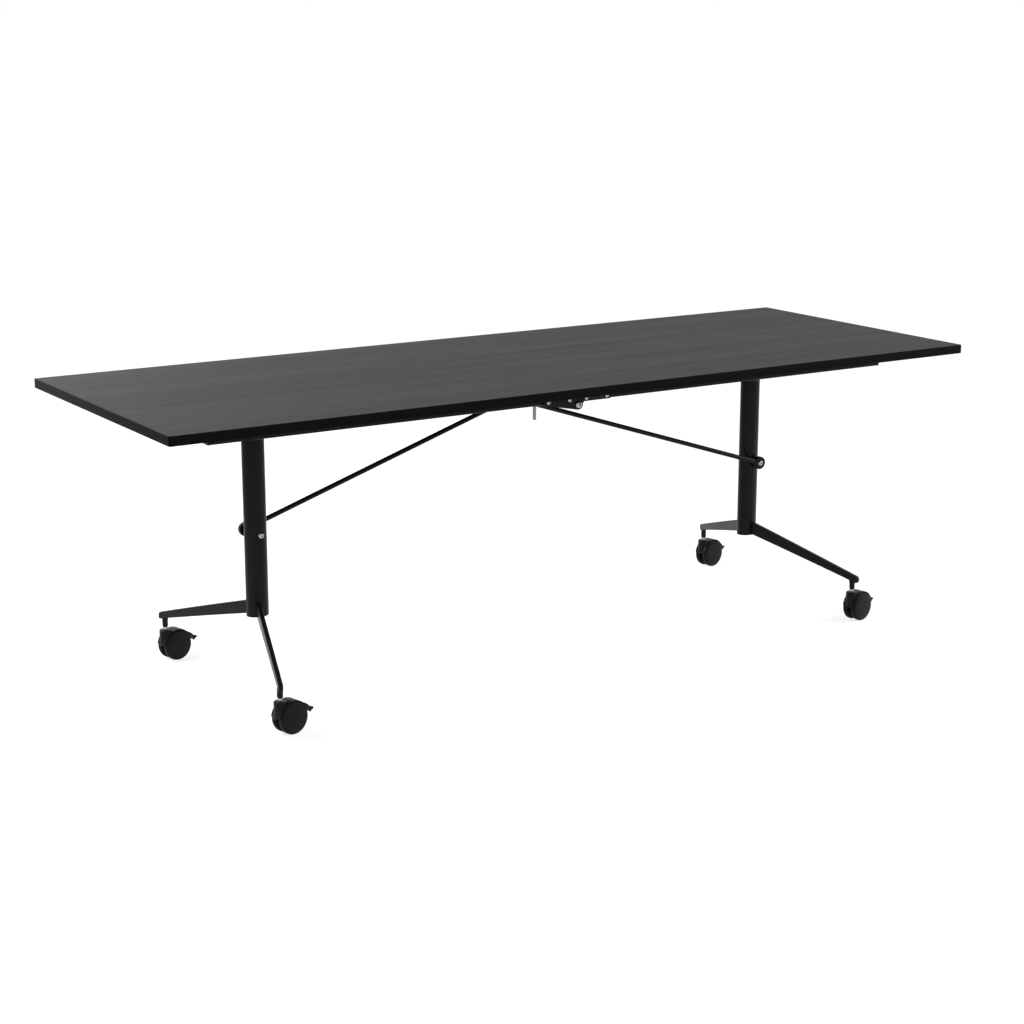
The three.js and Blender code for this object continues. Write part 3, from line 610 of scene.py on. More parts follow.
def button_head(bm, place, diameter, rise, steps=24):
    """A domed screw head with a hexagon socket. Its seat is at the place and its crown along Z."""
    radius = diameter / 2
    socket = SOCKET_RADIUS * diameter
    floor = SOCKET_FLOOR * rise
    dome = [(across * radius, up * rise) for across, up in BUTTON_DOME]
    profile = [(0, 0), *dome, (socket, rise), (socket, floor), (0, floor)]
    verts = turned(bm, profile, Matrix(), steps)
    half_side = math.pi / 6
    for vert in verts:
        flat = vert.co.xy
        if abs(flat.length - socket) < TINY:
            turn = math.atan2(flat.y, flat.x) % (2 * half_side) - half_side
            vert.co.xy = flat * (math.cos(half_side) / math.cos(turn))
    bmesh.ops.transform(bm, matrix=place, verts=verts)


def hexagon(bm, across, low, high, place, rounding=0.5 * MM):
    """A hexagon head or nut along Z with its corners eased."""
    verts = rod(bm, across / math.sqrt(3), low, high, place, steps=6)
    ease(bm, verts, rounding)


def add_piece(name, bm, body, slot, *finish_names):
    """Make the shape an object that moves with a body. Named for a CAD node, it replaces it."""
    bmesh.ops.remove_doubles(bm, verts=bm.verts, dist=TINY)
    bmesh.ops.recalc_face_normals(bm, faces=bm.faces)
    mesh = bpy.data.meshes.new(name)
    bm.to_mesh(mesh)
    bm.free()
    mesh.shade_smooth()
    mesh.set_sharp_from_angle(angle=CREASE)
    for finish_name in finish_names:
        mesh.materials.append(finish(finish_name))
    is_node = name in frame["nodes"]
    piece = bpy.data.objects.new(f"{name}_visual" if is_node else name, mesh)
    bpy.context.scene.collection.objects.link(piece)
    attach(piece, body)
    if is_node:
        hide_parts(name)


# Pieces


class TABLE_OT_worktop(bpy.types.Operator):
    """Laminate and edging of both worktop halves"""

    bl_idname = "table.worktop"
    bl_label = "Worktop"

    corner_segments = 6
    band_segments = 3
    level = 0.999
    seam_gap = 0.3 * MM
    seam_strip = 1.5

    def execute(self, context):
        for side in SIDES:
            dress("woodgrain_laminate", f"{side}_top_panel")
            self.band(side)
        return {"FINISHED"}

    def band(self, side):
        """A rounded band round one half. Its strip at the seam has the worktop's own laminate."""
        node = f"{side}_edge_band"
        low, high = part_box(node)
        band = sizes().band
        bm = bmesh.new()
        block(bm, high - low, middle_of(node))
        upright = [edge for edge in bm.edges if edge.verts[0].co.xy == edge.verts[1].co.xy]
        round_edges(bm, upright, sizes().top_corner, self.corner_segments)
        seam = min(abs(low.x), abs(high.x))
        rims = [
            edge
            for edge in bm.edges
            if edge.calc_face_angle(0) > SHARP
            and any(abs(vert.co.x) > seam + band for vert in edge.verts)
        ]
        faces = [face for face in bm.faces if abs(face.normal.z) > self.level]
        for face in faces:
            bmesh.ops.inset_region(bm, faces=[face], thickness=band, use_even_offset=True)
        bmesh.ops.delete(bm, geom=faces, context="FACES_ONLY")
        open_edges = [edge for edge in bm.edges if edge.is_boundary]
        bmesh.ops.bridge_loops(bm, edges=open_edges)
        self.square_corners(bm, SIDES[side] * seam, high.y)
        bm.normal_update()
        round_edges(bm, rims, sizes().band_ease, self.band_segments)
        for face in bm.faces:
            middle = face.calc_center_median()
            at_seam = abs(middle.x) < seam + self.seam_strip * band
            at_corner = high.y - abs(middle.y) < band
            face.material_index = 1 if at_seam and not at_corner else 0
        for vert in bm.verts:
            if abs(vert.co.x) < seam + TINY:
                vert.co.x = SIDES[side] * self.seam_gap / 2
        add_piece(node, bm, f"{side}_top", "edge_band", "abs_edging", "woodgrain_laminate")

    def square_corners(self, bm, seam, edge):
        """Draw the outer corners at the seam out to a point. The inner ones fit the panel."""
        corner = sizes().top_corner
        centre_x = seam + math.copysign(corner, seam)
        for vert in bm.verts:
            centre = Vector((centre_x, math.copysign(edge - corner, vert.co.y)))
            away = vert.co.xy - centre
            beyond = abs(vert.co.x) < abs(centre.x) and abs(vert.co.y) > abs(centre.y)
            if beyond and away.length > corner - sizes().band / 2:
                vert.co.xy = centre + away * corner / max(abs(away.x), abs(away.y))


class TABLE_OT_underframe(bpy.types.Operator):
    """Powder-coated rails, crossbars and brackets, with plugs in the rails' ends"""

    bl_idname = "table.underframe"
    bl_label = "Under-frame"

    rail_wall = 2.4 * MM
    plug_tail = 18 * MM
    plug_ease = 0.9 * MM

    def execute(self, context):
        for side in SIDES:
            nodes = [f"{side}_inner_crossbar", f"{side}_outer_crossbar", f"{side}_latch_strap"]
            plugs = bmesh.new()
            for edge in EDGES:
                rail = f"{side}_{edge}_rail"
                nodes += [rail, f"{side}_{edge}_pivot_bracket"]
                self.plug_ends(plugs, *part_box(rail))
            dress("black_powder_coat", *nodes)
            add_piece(f"{side}_rail_plugs", plugs, f"{side}_top", "castor_nylon", "moulded_nylon")
        return {"FINISHED"}

    def plug_ends(self, bm, low, high):
        """A plug with an eased head in each end of a rail."""
        head = sizes().plug_head
        tail = self.plug_tail
        middle = (low + high) / 2
        width = high.y - low.y
        depth = high.z - low.z
        for end, sign in ((low.x, -1), (high.x, 1)):
            cap = block(bm, (head, width, depth), (end + sign * head / 2, middle.y, middle.z))
            ease(bm, cap, self.plug_ease, segments=3)
            bore = (tail, width - 2 * self.rail_wall, depth - 2 * self.rail_wall)
            block(bm, bore, (end - sign * tail / 2, middle.y, middle.z))


class TABLE_OT_hinge_leaves(bpy.types.Operator):
    """Plates of the two centre hinges, each with a round lug at the pivot"""

    bl_idname = "table.hinge_leaves"
    bl_label = "Hinge leaves"

    thickness = 5 * MM
    packed = 1.5
    lug_radius = 13 * MM
    lug_steps = 20
    start = 14 * MM
    pad_start = 22 * MM
    outer_slope = 92 * MM
    inner_slope = 20 * MM
    rounding = 0.6 * MM

    def execute(self, context):
        for side in SIDES:
            for edge, sign in EDGES.items():
                self.leaf(side, edge, sign)
        return {"FINISHED"}

    def leaf(self, side, edge, sign):
        """A leaf on the rail's outer face. The outer one of a pair is packed out from the rail."""
        node = f"{edge}_hinge_{side}_leaf"
        low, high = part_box(node)
        axis = pivot("centre_hinge")
        depth = high.y - low.y
        is_outer = depth > self.packed * self.thickness
        slope = self.outer_slope if is_outer else self.inner_slope
        length = max(abs(low.x), abs(high.x))
        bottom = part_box(f"{side}_{edge}_rail")[0].z - axis.z
        top = high.z - axis.z
        bm = bmesh.new()
        self.plate(bm, length, slope, bottom, top, -sign * self.thickness)
        ease(bm, list(bm.verts), self.rounding, sharper=SHARP)
        if is_outer:
            pad_depth = depth - self.thickness / 2
            size = (length - self.pad_start, pad_depth, top - bottom)
            across = -sign * (depth - pad_depth / 2)
            middle = ((length + self.pad_start) / 2, across, (top + bottom) / 2)
            ease(bm, block(bm, size, middle), self.rounding, sharper=SHARP)
        handed = Matrix.Diagonal((SIDES[side], 1, 1, 1))
        place = Matrix.Translation((0, face_of(node, sign), axis.z)) @ handed
        bmesh.ops.transform(bm, matrix=place, verts=bm.verts)
        add_piece(node, bm, f"{side}_top", "powder_coat", "black_powder_coat")

    def plate(self, bm, length, slope, bottom, top, depth):
        """A plate towards +X from a lug at the origin, with its outside at Y = 0."""
        # The lug runs from its crown round to the point where the slope touches it
        reach = math.hypot(slope, bottom)
        touch = math.atan2(bottom, slope) - math.acos(self.lug_radius / reach)
        crown = (0, 0, self.lug_radius)
        angle = touch + 1.5 * math.pi
        lug = spun(bm, [crown], (0, 0, 0), (0, -1, 0), angle, self.lug_steps)
        corners = ((slope, bottom), (length, bottom), (length, top), (self.start, top))
        rim = lug + [bm.verts.new((x, 0, z)) for x, z in corners]
        back = extruded(bm, [bm.faces.new(rim)])
        bmesh.ops.translate(bm, vec=(0, depth, 0), verts=back)
        bmesh.ops.recalc_face_normals(bm, faces=bm.faces)


class TABLE_OT_fixings(bpy.types.Operator):
    """Button-head screws of the hinge leaves, pivot brackets and latch straps"""

    bl_idname = "table.fixings"
    bl_label = "Fixings"

    leaf_reaches = (25.5 * MM, 85 * MM)
    leaf_drop = 21.5 * MM
    bracket_plate = 6 * MM
    bracket_flange = 4 * MM
    bracket_spread = 22 * MM
    strap_spread = 10 * MM
    strap_drop = 6 * MM
    strap_sheet = 2.5 * MM
    strap_screw = 0.8

    def execute(self, context):
        for side in SIDES:
            leaf_screws = bmesh.new()
            frame_screws = bmesh.new()
            for edge, sign in EDGES.items():
                self.on_leaf(leaf_screws, side, edge, sign)
                self.on_bracket(frame_screws, side, edge, sign)
            self.on_strap(frame_screws, side)
            for name, bm in (("leaf_screws", leaf_screws), ("frame_screws", frame_screws)):
                add_piece(f"{side}_{name}", bm, f"{side}_top", "zinc_plate", "zinc_plate")
        return {"FINISHED"}

    def screw(self, bm, place, axis, share=1):
        """A screw seated at a place, with its crown along an axis."""
        button_head(bm, at(place, axis), share * sizes().screw_head, share * sizes().screw_rise)

    def on_leaf(self, bm, side, edge, sign):
        node = f"{edge}_hinge_{side}_leaf"
        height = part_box(node)[1].z - self.leaf_drop
        for reach in self.leaf_reaches:
            self.screw(bm, (SIDES[side] * reach, face_of(node, sign), height), (0, sign, 0))

    def on_bracket(self, bm, side, edge, sign):
        node = f"{side}_{edge}_pivot_bracket"
        middle = middle_of(node)
        across = middle.y + sign * self.bracket_plate / 2
        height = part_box(node)[1].z - self.bracket_flange
        for offset in (-self.bracket_spread, self.bracket_spread):
            self.screw(bm, (middle.x + offset, across, height), (0, 0, -1))

    def on_strap(self, bm, side):
        node = f"{side}_latch_strap"
        low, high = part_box(node)
        middle = (low.x + high.x) / 2
        seat = low.y + self.strap_sheet
        for offset in (-self.strap_spread, self.strap_spread):
            place = (middle + offset, seat, high.z - self.strap_drop)
            self.screw(bm, place, (0, 1, 0), self.strap_screw)


class TABLE_OT_pivot_bolts(bpy.types.Operator):
    """Bolts of the centre hinges and of the strut clevises"""

    bl_idname = "table.pivot_bolts"
    bl_label = "Pivot bolts"

    hinge_head = 18 * MM
    hinge_rise = 5 * MM
    hinge_shank = 10 * MM
    hinge_nut = 6 * MM
    hinge_flats = 13.6 * MM
    clevis_rise = 4 * MM
    clevis_shank = 8 * MM
    clevis_flats = 0.85
    clevis_thread = 0.6 * MM

    def execute(self, context):
        for edge, sign in EDGES.items():
            self.hinge_bolt(f"{edge}_hinge_bolt", sign)
        for side in SIDES:
            self.clevis_bolt(side)
        return {"FINISHED"}

    def hinge_bolt(self, node, sign):
        """A button-head bolt whose crown faces out, with a nut at its inner end."""
        axis = pivot("centre_hinge")
        seat = face_of(node, sign) - sign * self.hinge_rise
        reach = abs(seat - face_of(node, -sign))
        place = at((axis.x, seat, axis.z), (0, sign, 0))
        bm = bmesh.new()
        button_head(bm, place, self.hinge_head, self.hinge_rise, steps=36)
        rod(bm, self.hinge_shank / 2, -reach, self.hinge_rise / 4, place)
        hexagon(bm, self.hinge_flats, -reach, self.hinge_nut - reach, place)
        add_piece(node, bm, "left_top", "bright_steel", "bright_nickel")

    def clevis_bolt(self, side):
        """A hexagon bolt across the clevis, whose thread stands a little past the nut."""
        node = f"{side}_clevis_bolt"
        low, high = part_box(node)
        half = (high.y - low.y) / 2
        flats = self.clevis_flats * (high.x - low.x)
        place = at(middle_of(node), (0, 1, 0))
        bm = bmesh.new()
        rod(bm, self.clevis_shank / 2, -half, half, place)
        hexagon(bm, flats, -half, self.clevis_rise - half, place)
        hexagon(bm, flats, half - self.clevis_rise, half - self.clevis_thread, place)
        add_piece(node, bm, f"{side}_top", "zinc_plate", "zinc_plate")


class TABLE_OT_latch(bpy.types.Operator):
    """Slide bolt with its handle"""

    bl_idname = "table.latch"
    bl_label = "Latch"

    tail_ease = 0.6 * MM
    nose_length = 3 * MM
    nose_radius = 4 * MM
    grip_rounding = 0.7

    def execute(self, context):
        self.bolt("latch_bolt")
        self.handle("latch_handle")
        return {"FINISHED"}

    def bolt(self, node):
        """A round bar along X with a tapered nose at the seam."""
        low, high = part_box(node)
        radius = (high.y - low.y) / 2
        length = high.x - low.x
        middle = middle_of(node)
        profile = [
            (0, 0),
            (radius - self.tail_ease, 0),
            (radius, self.tail_ease),
            (radius, length - self.nose_length),
            (self.nose_radius, length),
            (0, length),
        ]
        bm = bmesh.new()
        turned(bm, profile, at((low.x, middle.y, middle.z), (1, 0, 0)))
        add_piece(node, bm, "latch", "zinc_plate", "zinc_nickel_plate")

    def handle(self, node):
        """A peg that hangs from the bolt, with a rounded foot."""
        low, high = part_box(node)
        radius = sizes().handle_diameter / 2
        middle = middle_of(node)
        bm = bmesh.new()
        grip = rod(bm, radius, 0, high.z - low.z, at((middle.x, middle.y, low.z)))
        bottom = [vert for vert in grip if vert.co.z < middle.z]
        ease(bm, bottom, self.grip_rounding * radius, segments=4)
        add_piece(node, bm, "latch", "zinc_plate", "zinc_nickel_plate")


class TABLE_OT_legs(bpy.types.Operator):
    """Oval columns and the cross tubes that they hang from"""

    bl_idname = "table.legs"
    bl_label = "Legs"

    spigot_reach = 6.3 * MM
    tube_ease = 1.2 * MM
    foot_lift = 4 * MM
    column_ease = 1.6 * MM
    boss_ease = 1 * MM
    bolt_head = 14 * MM
    bolt_rise = 4.5 * MM
    bolt_seat = 3 * MM
    bolt_inset = 4.3 * MM
    bolt_drop = 5.2 * MM
    seat_share = 0.96
    seat_bite = 0.3 * MM

    def execute(self, context):
        for side, joint in LEG_JOINTS.items():
            self.cross_tube(side, pivot(joint))
            self.column(side, pivot(joint))
            self.column_bolt(side, pivot(joint))
        return {"FINISHED"}

    def cross_tube(self, side, axis):
        node = f"{side}_cross_tube"
        low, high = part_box(node)
        face = low.y + self.spigot_reach
        place = at((axis.x, 0, axis.z), (0, 1, 0))
        bm = bmesh.new()
        tube = rod(bm, sizes().tube_diameter / 2, face, -face, place, steps=48)
        ease(bm, tube, self.tube_ease)
        rod(bm, sizes().spigot_diameter / 2, low.y, high.y, place)
        add_piece(node, bm, f"{side}_leg", "powder_coat", "black_powder_coat")

    def column(self, side, axis):
        """An oval tube with a boss for the strut's screw on the side of the strut."""
        node = f"{side}_column"
        low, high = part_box(node)
        bm = bmesh.new()
        oval = Matrix.Diagonal((sizes().column_width / 2, sizes().column_depth / 2, 1, 1))
        standing = Matrix.Translation((axis.x, 0, 0)) @ oval
        ring = rod(bm, 1, low.z + self.foot_lift, high.z, standing, steps=64)
        ease(bm, ring, self.column_ease, segments=3, sharper=SHARP)
        boss_side = -SIDES[side]
        reach = abs(face_of(node, boss_side))
        place = at(self.boss_place(side), (0, boss_side, 0))
        boss = rod(bm, sizes().boss_diameter / 2, 0, reach, place, steps=40)
        ease(bm, boss, self.boss_ease, sharper=SHARP)
        add_piece(node, bm, f"{side}_leg", "powder_coat", "black_powder_coat")

    def column_bolt(self, side, axis):
        """A bolt head on the column's other side, seated into the curve."""
        inward = -SIDES[side] * self.bolt_inset
        across = SIDES[side] * self.half_depth(inward)
        height = self.boss_place(side).z - self.bolt_drop
        place = at((axis.x + inward, across, height), (0, SIDES[side], 0))
        seat = self.seat_share * self.bolt_head / 2
        bm = bmesh.new()
        button_head(bm, place, self.bolt_head, self.bolt_rise)
        rod(bm, seat, -self.bolt_seat, self.seat_bite, place, steps=24)
        add_piece(f"{side}_column_bolt", bm, f"{side}_leg", "bright_steel", "bright_nickel")

    def boss_place(self, side):
        """Where the strut's screw crosses the middle of the column."""
        middle = middle_of(f"{side}_strut_screw")
        return Vector((middle.x, 0, middle.z))

    def half_depth(self, offset):
        """Half the column's depth at a distance from its axis."""
        share = offset / (sizes().column_width / 2)
        return sizes().column_depth / 2 * math.sqrt(1 - share * share)


class TABLE_OT_foot_arms(bpy.types.Operator):
    """Tapered foot arms with rounded edges, and their castor sockets"""

    bl_idname = "table.foot_arms"
    bl_label = "Foot arms"

    stations = 24
    start = 18 * MM
    root_lift = 5 * MM
    tip_lift = 1.5 * MM
    nose_rounding = 6 * MM
    nose_segments = 6
    foot_ease = 2 * MM
    foot_round = 0.3
    gusset_height = 9 * MM
    gusset_stretch = 0.45
    gusset_rings = (1, 0.6, 0.2)
    crown_height = 0.5
    crown_width = 0.9

    def execute(self, context):
        for side, joint in LEG_JOINTS.items():
            for edge in EDGES:
                self.arm(side, edge, pivot(joint))
        return {"FINISHED"}

    def arm(self, side, edge, axis):
        node = f"{side}_{edge}_foot_arm"
        stem = pivot(f"{side}_{edge}_castor_swivel")
        low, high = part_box(node)
        run = Vector((stem.x - axis.x, stem.y, 0))
        tip_bottom = low.z + sizes().socket_drop + self.tip_lift
        bm = bmesh.new()
        self.blade(bm, run.length, tip_bottom, high.z + self.root_lift)
        ease(bm, list(bm.verts), sizes().arm_ease, segments=4, sharper=SHARP)
        self.socket(bm, run.length, low.z, tip_bottom)
        swing = Matrix.Rotation(math.atan2(run.y, run.x), 4, "Z")
        place = Matrix.Translation((axis.x, 0, 0)) @ swing
        bmesh.ops.transform(bm, matrix=place, verts=bm.verts)
        add_piece(node, bm, f"{side}_leg", "powder_coat", "black_powder_coat")

    def blade(self, bm, length, tip_bottom, root_top):
        """A blade along +X whose edges run down to a round nose past the stem's axis."""
        root_bottom = root_top - sizes().arm_root
        tip_top = tip_bottom + sizes().arm_tip
        half = sizes().arm_thickness / 2
        nose = length + sizes().arm_nose
        upright = Matrix.Rotation(math.pi / 2, 4, "X")
        grid = bmesh.ops.create_grid(
            bm, x_segments=self.stations, y_segments=1, size=0.5, matrix=upright
        )["verts"]
        for vert in grid:
            reach = self.start + (vert.co.x + 0.5) * (nose - self.start)
            down = reach / length
            root, tip = (root_top, tip_top) if vert.co.z > 0 else (root_bottom, tip_bottom)
            bow = 2 * down * (1 - down) * sizes().arm_bow
            vert.co = (reach, -half, root + (tip - root) * down + bow)
        far = extruded(bm, list(bm.faces))
        bmesh.ops.translate(bm, vec=(0, 2 * half, 0), verts=far)
        bmesh.ops.recalc_face_normals(bm, faces=bm.faces)
        tip_edges = [
            edge
            for edge in bm.edges
            if all(abs(vert.co.x - nose) < TINY for vert in edge.verts)
            and abs(edge.verts[0].co.y - edge.verts[1].co.y) > half
        ]
        round_edges(bm, tip_edges, self.nose_rounding, self.nose_segments)

    def socket(self, bm, length, bottom, tip_bottom):
        """A socket with a rounded foot, which widens along the blade as it runs up into it."""
        radius = sizes().socket_diameter / 2
        neck = sizes().arm_thickness / 2
        foot = self.foot_ease
        top = tip_bottom + self.crown_height * sizes().arm_tip
        profile = [
            (0, bottom),
            (radius - foot, bottom),
            (radius - self.foot_round * foot, bottom + self.foot_round * foot),
            (radius, bottom + foot),
            *((radius, tip_bottom - down * self.gusset_height) for down in self.gusset_rings),
            ((radius + neck) / 2, tip_bottom + foot),
            (self.crown_width * neck, top),
            (0, top),
        ]
        for vert in turned(bm, profile, Matrix.Translation((length, 0, 0))):
            up = (vert.co.z - tip_bottom + self.gusset_height) / self.gusset_height
            stretch = self.gusset_stretch * min(max(up, 0), 1) ** 2
            vert.co.x += (vert.co.x - length) * stretch


class TABLE_OT_struts(bpy.types.Operator):
    """Crossed struts with a round eye at each end, and their screws"""

    bl_idname = "table.struts"
    bl_label = "Struts"

    eye_ease = 2 * MM
    screw_head = 14 * MM
    screw_rise = 4 * MM
    screw_gap = 0.1 * MM

    def execute(self, context):
        for side in SIDES:
            middle = middle_of(f"{side}_strut_screw")
            inner = pivot(f"{side}_strut_pivot")
            outer = Vector((middle.x, inner.y, middle.z))
            self.strut(side, inner, outer)
            self.screw(side, outer)
        return {"FINISHED"}

    def strut(self, side, inner, outer):
        run = inner - outer
        half = sizes().eye_thickness / 2
        bm = bmesh.new()
        rod(bm, sizes().strut_diameter / 2, 0, run.length, at(outer, run.normalized()))
        for place, diameter in ((outer, sizes().outer_eye), (inner, sizes().inner_eye)):
            eye = rod(bm, diameter / 2, -half, half, at(place, (0, 1, 0)), steps=48)
            ease(bm, eye, self.eye_ease, segments=4, sharper=SHARP)
        add_piece(f"{side}_strut", bm, f"{side}_strut", "powder_coat", "black_powder_coat")

    def screw(self, side, outer):
        """A button head on the outer eye, on the side away from the column."""
        away = -SIDES[side]
        face = outer + Vector((0, away * (sizes().eye_thickness / 2 + self.screw_gap), 0))
        bm = bmesh.new()
        button_head(bm, at(face, (0, away, 0)), self.screw_head, self.screw_rise, steps=36)
        add_piece(f"{side}_strut_screw", bm, f"{side}_strut", "bright_steel", "bright_nickel")


class TABLE_OT_castors(bpy.types.Operator):
    """Twin-wheel castors: stems, hooded housings, wheels and brake levers"""

    bl_idname = "table.castors"
    bl_label = "Castors"

    hood_gap = 1 * MM
    hood_wall = 2 * MM
    hood_width = 34 * MM
    hood_ease = 0.9 * MM
    hood_start = math.radians(12)
    hood_end = math.radians(172)
    hood_steps = 32
    web_thickness = 10 * MM
    web_hub = 20 * MM
    barrel_diameter = 30 * MM
    barrel_skirt = 40 * MM
    barrel_ease = 2.5 * MM
    axle_diameter = 8 * MM
    axle_inset = 3 * MM
    fit = 0.3 * MM
    stem_depth = 14.3 * MM
    collar_height = 7 * MM
    collar_ease = 0.5 * MM
    ear_diameter = 9 * MM
    ear_thickness = 3 * MM
    ear_ease = 0.6 * MM
    # A wheel's section, in mm below its tread and in from its inner or its outer side
    wheel_back = ((3.5, 0), (1, 1), (0, 3.5))
    wheel_dome = (
        (0, 6.5),
        (0.5, 4.6),
        (1.6, 3.2),
        (3.2, 2.3),
        (5.6, 1.7),
        (10, 1.1),
        (16, 0.6),
        (24, 0.2),
    )
    wheel_gap = 0.8 * MM
    wheel_steps = 56
    tread_depth = 3.2 * MM
    disc_start = 1 * MM
    # The pedal's shape: bend, web_start and web_end are shares of its length
    lever_stations = 14
    lever_rows = 6
    lever_width = 12 * MM
    lever_tip = 8.5 * MM
    lever_corner = 1.5 * MM
    lever_length = 26 * MM
    lever_rise = 6 * MM
    lever_drop = 17 * MM
    lever_bend = 0.8
    lever_rib = 4 * MM
    lever_web = 5 * MM
    web_start = 0.36
    web_end = 0.72
    lever_root = 5.8 * MM
    lever_thickness = 3.6 * MM
    lever_ease = 0.8 * MM
    lever_sharp = math.radians(55)
    lever_barrel = 4.6 * MM
    lever_pin = 3.2 * MM

    def execute(self, context):
        for side in SIDES:
            for edge in EDGES:
                self.castor(side, edge)
        return {"FINISHED"}

    def castor(self, side, edge):
        """One castor, made with its stem's axis at the origin and its axle towards +X."""
        name = f"{side}_{edge}_castor"
        stem = pivot(f"{name}_swivel")
        axle = pivot(f"{name}_wheel_near_roll")
        trail = Vector((axle.x - stem.x, axle.y - stem.y, 0))
        self.trail = trail.length
        self.axle_height = axle.z
        turn = Matrix.Rotation(math.atan2(trail.y, trail.x), 4, "Z")
        place = Matrix.Translation((stem.x, stem.y, 0)) @ turn
        self.stem(name, f"{side}_leg", place)
        self.housing(name, place, stem.z)
        self.wheel(f"{name}_wheel_near", -1, place)
        self.wheel(f"{name}_wheel_far", 1, place)
        self.brake_lever(name, place)

    def stem(self, name, body, place):
        node = f"{name}_stem"
        low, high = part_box(node)
        pin = sizes().stem_diameter / 2
        collar = sizes().collar_diameter / 2
        collar_low = low.z + self.stem_depth
        collar_high = collar_low + self.collar_height
        worn = self.collar_ease
        profile = [
            (0, low.z),
            (pin, low.z),
            (pin, collar_low),
            (collar - worn, collar_low),
            (collar, collar_low + worn),
            (collar, collar_high - worn),
            (collar - worn, collar_high),
            (pin, collar_high),
            (pin, high.z),
            (0, high.z),
        ]
        bm = bmesh.new()
        turned(bm, profile, place)
        add_piece(node, bm, body, "bright_steel", "bright_nickel")

    def axle(self, sign=1):
        return at((self.trail, 0, self.axle_height), (0, sign, 0))

    def wheel_room(self):
        """Inside radius of the hood."""
        return sizes().wheel_diameter / 2 + self.hood_gap

    def wheel_sides(self):
        """Distances of a wheel's inner and outer side from the middle of the castor."""
        inner = self.web_thickness / 2 + self.wheel_gap
        return inner, inner + sizes().wheel_width

    def swept_plate(self, bm, inside, outside, width):
        """A plate between two radii about the axle, swept over the hood's angle."""
        axle = Vector((self.trail, 0, self.axle_height))
        start = Matrix.Rotation(-self.hood_start, 4, "Y")
        points = [axle + start @ Vector((r, -width / 2, 0)) for r in (inside, outside)]
        angle = self.hood_end - self.hood_start
        near = spun(bm, points, axle, (0, -1, 0), angle, self.hood_steps)
        faces = list({face for vert in near for face in vert.link_faces})
        far = extruded(bm, faces)
        bmesh.ops.translate(bm, vec=(0, width, 0), verts=far)
        bmesh.ops.recalc_face_normals(bm, faces=bm.faces)
        return near + far

    def barrel(self, bm, top):
        """The stem's barrel, whose foot follows the curve of the hood."""
        middle = self.wheel_room() + self.hood_wall / 2
        bottom = top - self.barrel_skirt
        verts = rod(bm, self.barrel_diameter / 2, bottom, top, Matrix(), steps=48)
        rim = [vert for vert in verts if vert.co.z > (bottom + top) / 2]
        for vert in set(verts) - set(rim):
            across = self.trail - vert.co.x
            rise = math.sqrt(max(middle * middle - across * across, 0))
            vert.co.z = max(self.axle_height + rise, bottom)
        ease(bm, rim, self.barrel_ease, segments=5)

    def housing(self, name, place, top):
        """A hood over both wheels, with the barrel, the web between them, the axle and ears."""
        node = f"{name}_housing"
        inside = self.wheel_room()
        bm = bmesh.new()
        hood = self.swept_plate(bm, inside, inside + self.hood_wall, self.hood_width)
        ease(bm, hood, self.hood_ease, segments=3, sharper=SHARP)
        self.barrel(bm, top)
        half = self.web_thickness / 2
        rod(bm, self.web_hub / 2, -half, half, self.axle(), steps=40)
        axle_radius = self.axle_diameter / 2
        self.swept_plate(bm, axle_radius, inside + self.hood_wall / 2, self.web_thickness)
        reach = self.wheel_sides()[1] - self.axle_inset
        rod(bm, axle_radius, -reach, reach, self.axle())
        lever = self.lever_place(name, place)
        thick = self.ear_thickness / 2
        offset = self.lever_width / 2 + self.fit + thick
        for sign in (-1, 1):
            ear_place = at((lever.x, sign * offset, lever.z), (0, 1, 0))
            ear = rod(bm, self.ear_diameter / 2, -thick, thick, ear_place, steps=24)
            ease(bm, ear, self.ear_ease, sharper=SHARP)
        bmesh.ops.transform(bm, matrix=place, verts=bm.verts)
        add_piece(node, bm, name, "castor_nylon", "moulded_nylon")

    def lever_place(self, name, place):
        return place.inverted() @ pivot(f"{name}_brake_press")

    def wheel(self, node, sign, place):
        """A wheel with a domed, closed disc outside and a blind bore for the axle inside."""
        radius = sizes().wheel_diameter / 2
        inner, outer = self.wheel_sides()
        bore = self.axle_diameter / 2 + self.fit
        blind_end = outer - self.axle_inset + self.fit
        outside = [
            (bore, inner),
            *((radius - down * MM, inner + back * MM) for down, back in self.wheel_back),
            *((radius - down * MM, outer - back * MM) for down, back in self.wheel_dome),
            (0, outer),
        ]
        bore_wall = [(0, blind_end), (bore, blind_end), (bore, inner)]
        axle = self.axle(sign)
        bm = bmesh.new()
        for profile in (outside, bore_wall):
            turned(bm, profile, axle, self.wheel_steps)
        for face in bm.faces:
            middle = axle.inverted() @ face.calc_center_median()
            within_tread = middle.xy.length < radius - self.tread_depth
            is_disc = within_tread and middle.z > inner + self.disc_start
            face.material_index = 1 if is_disc else 0
        bmesh.ops.transform(bm, matrix=place, verts=bm.verts)
        add_piece(node, bm, node, "castor_wheel", "polyurethane_tread", "polypropylene_disc")

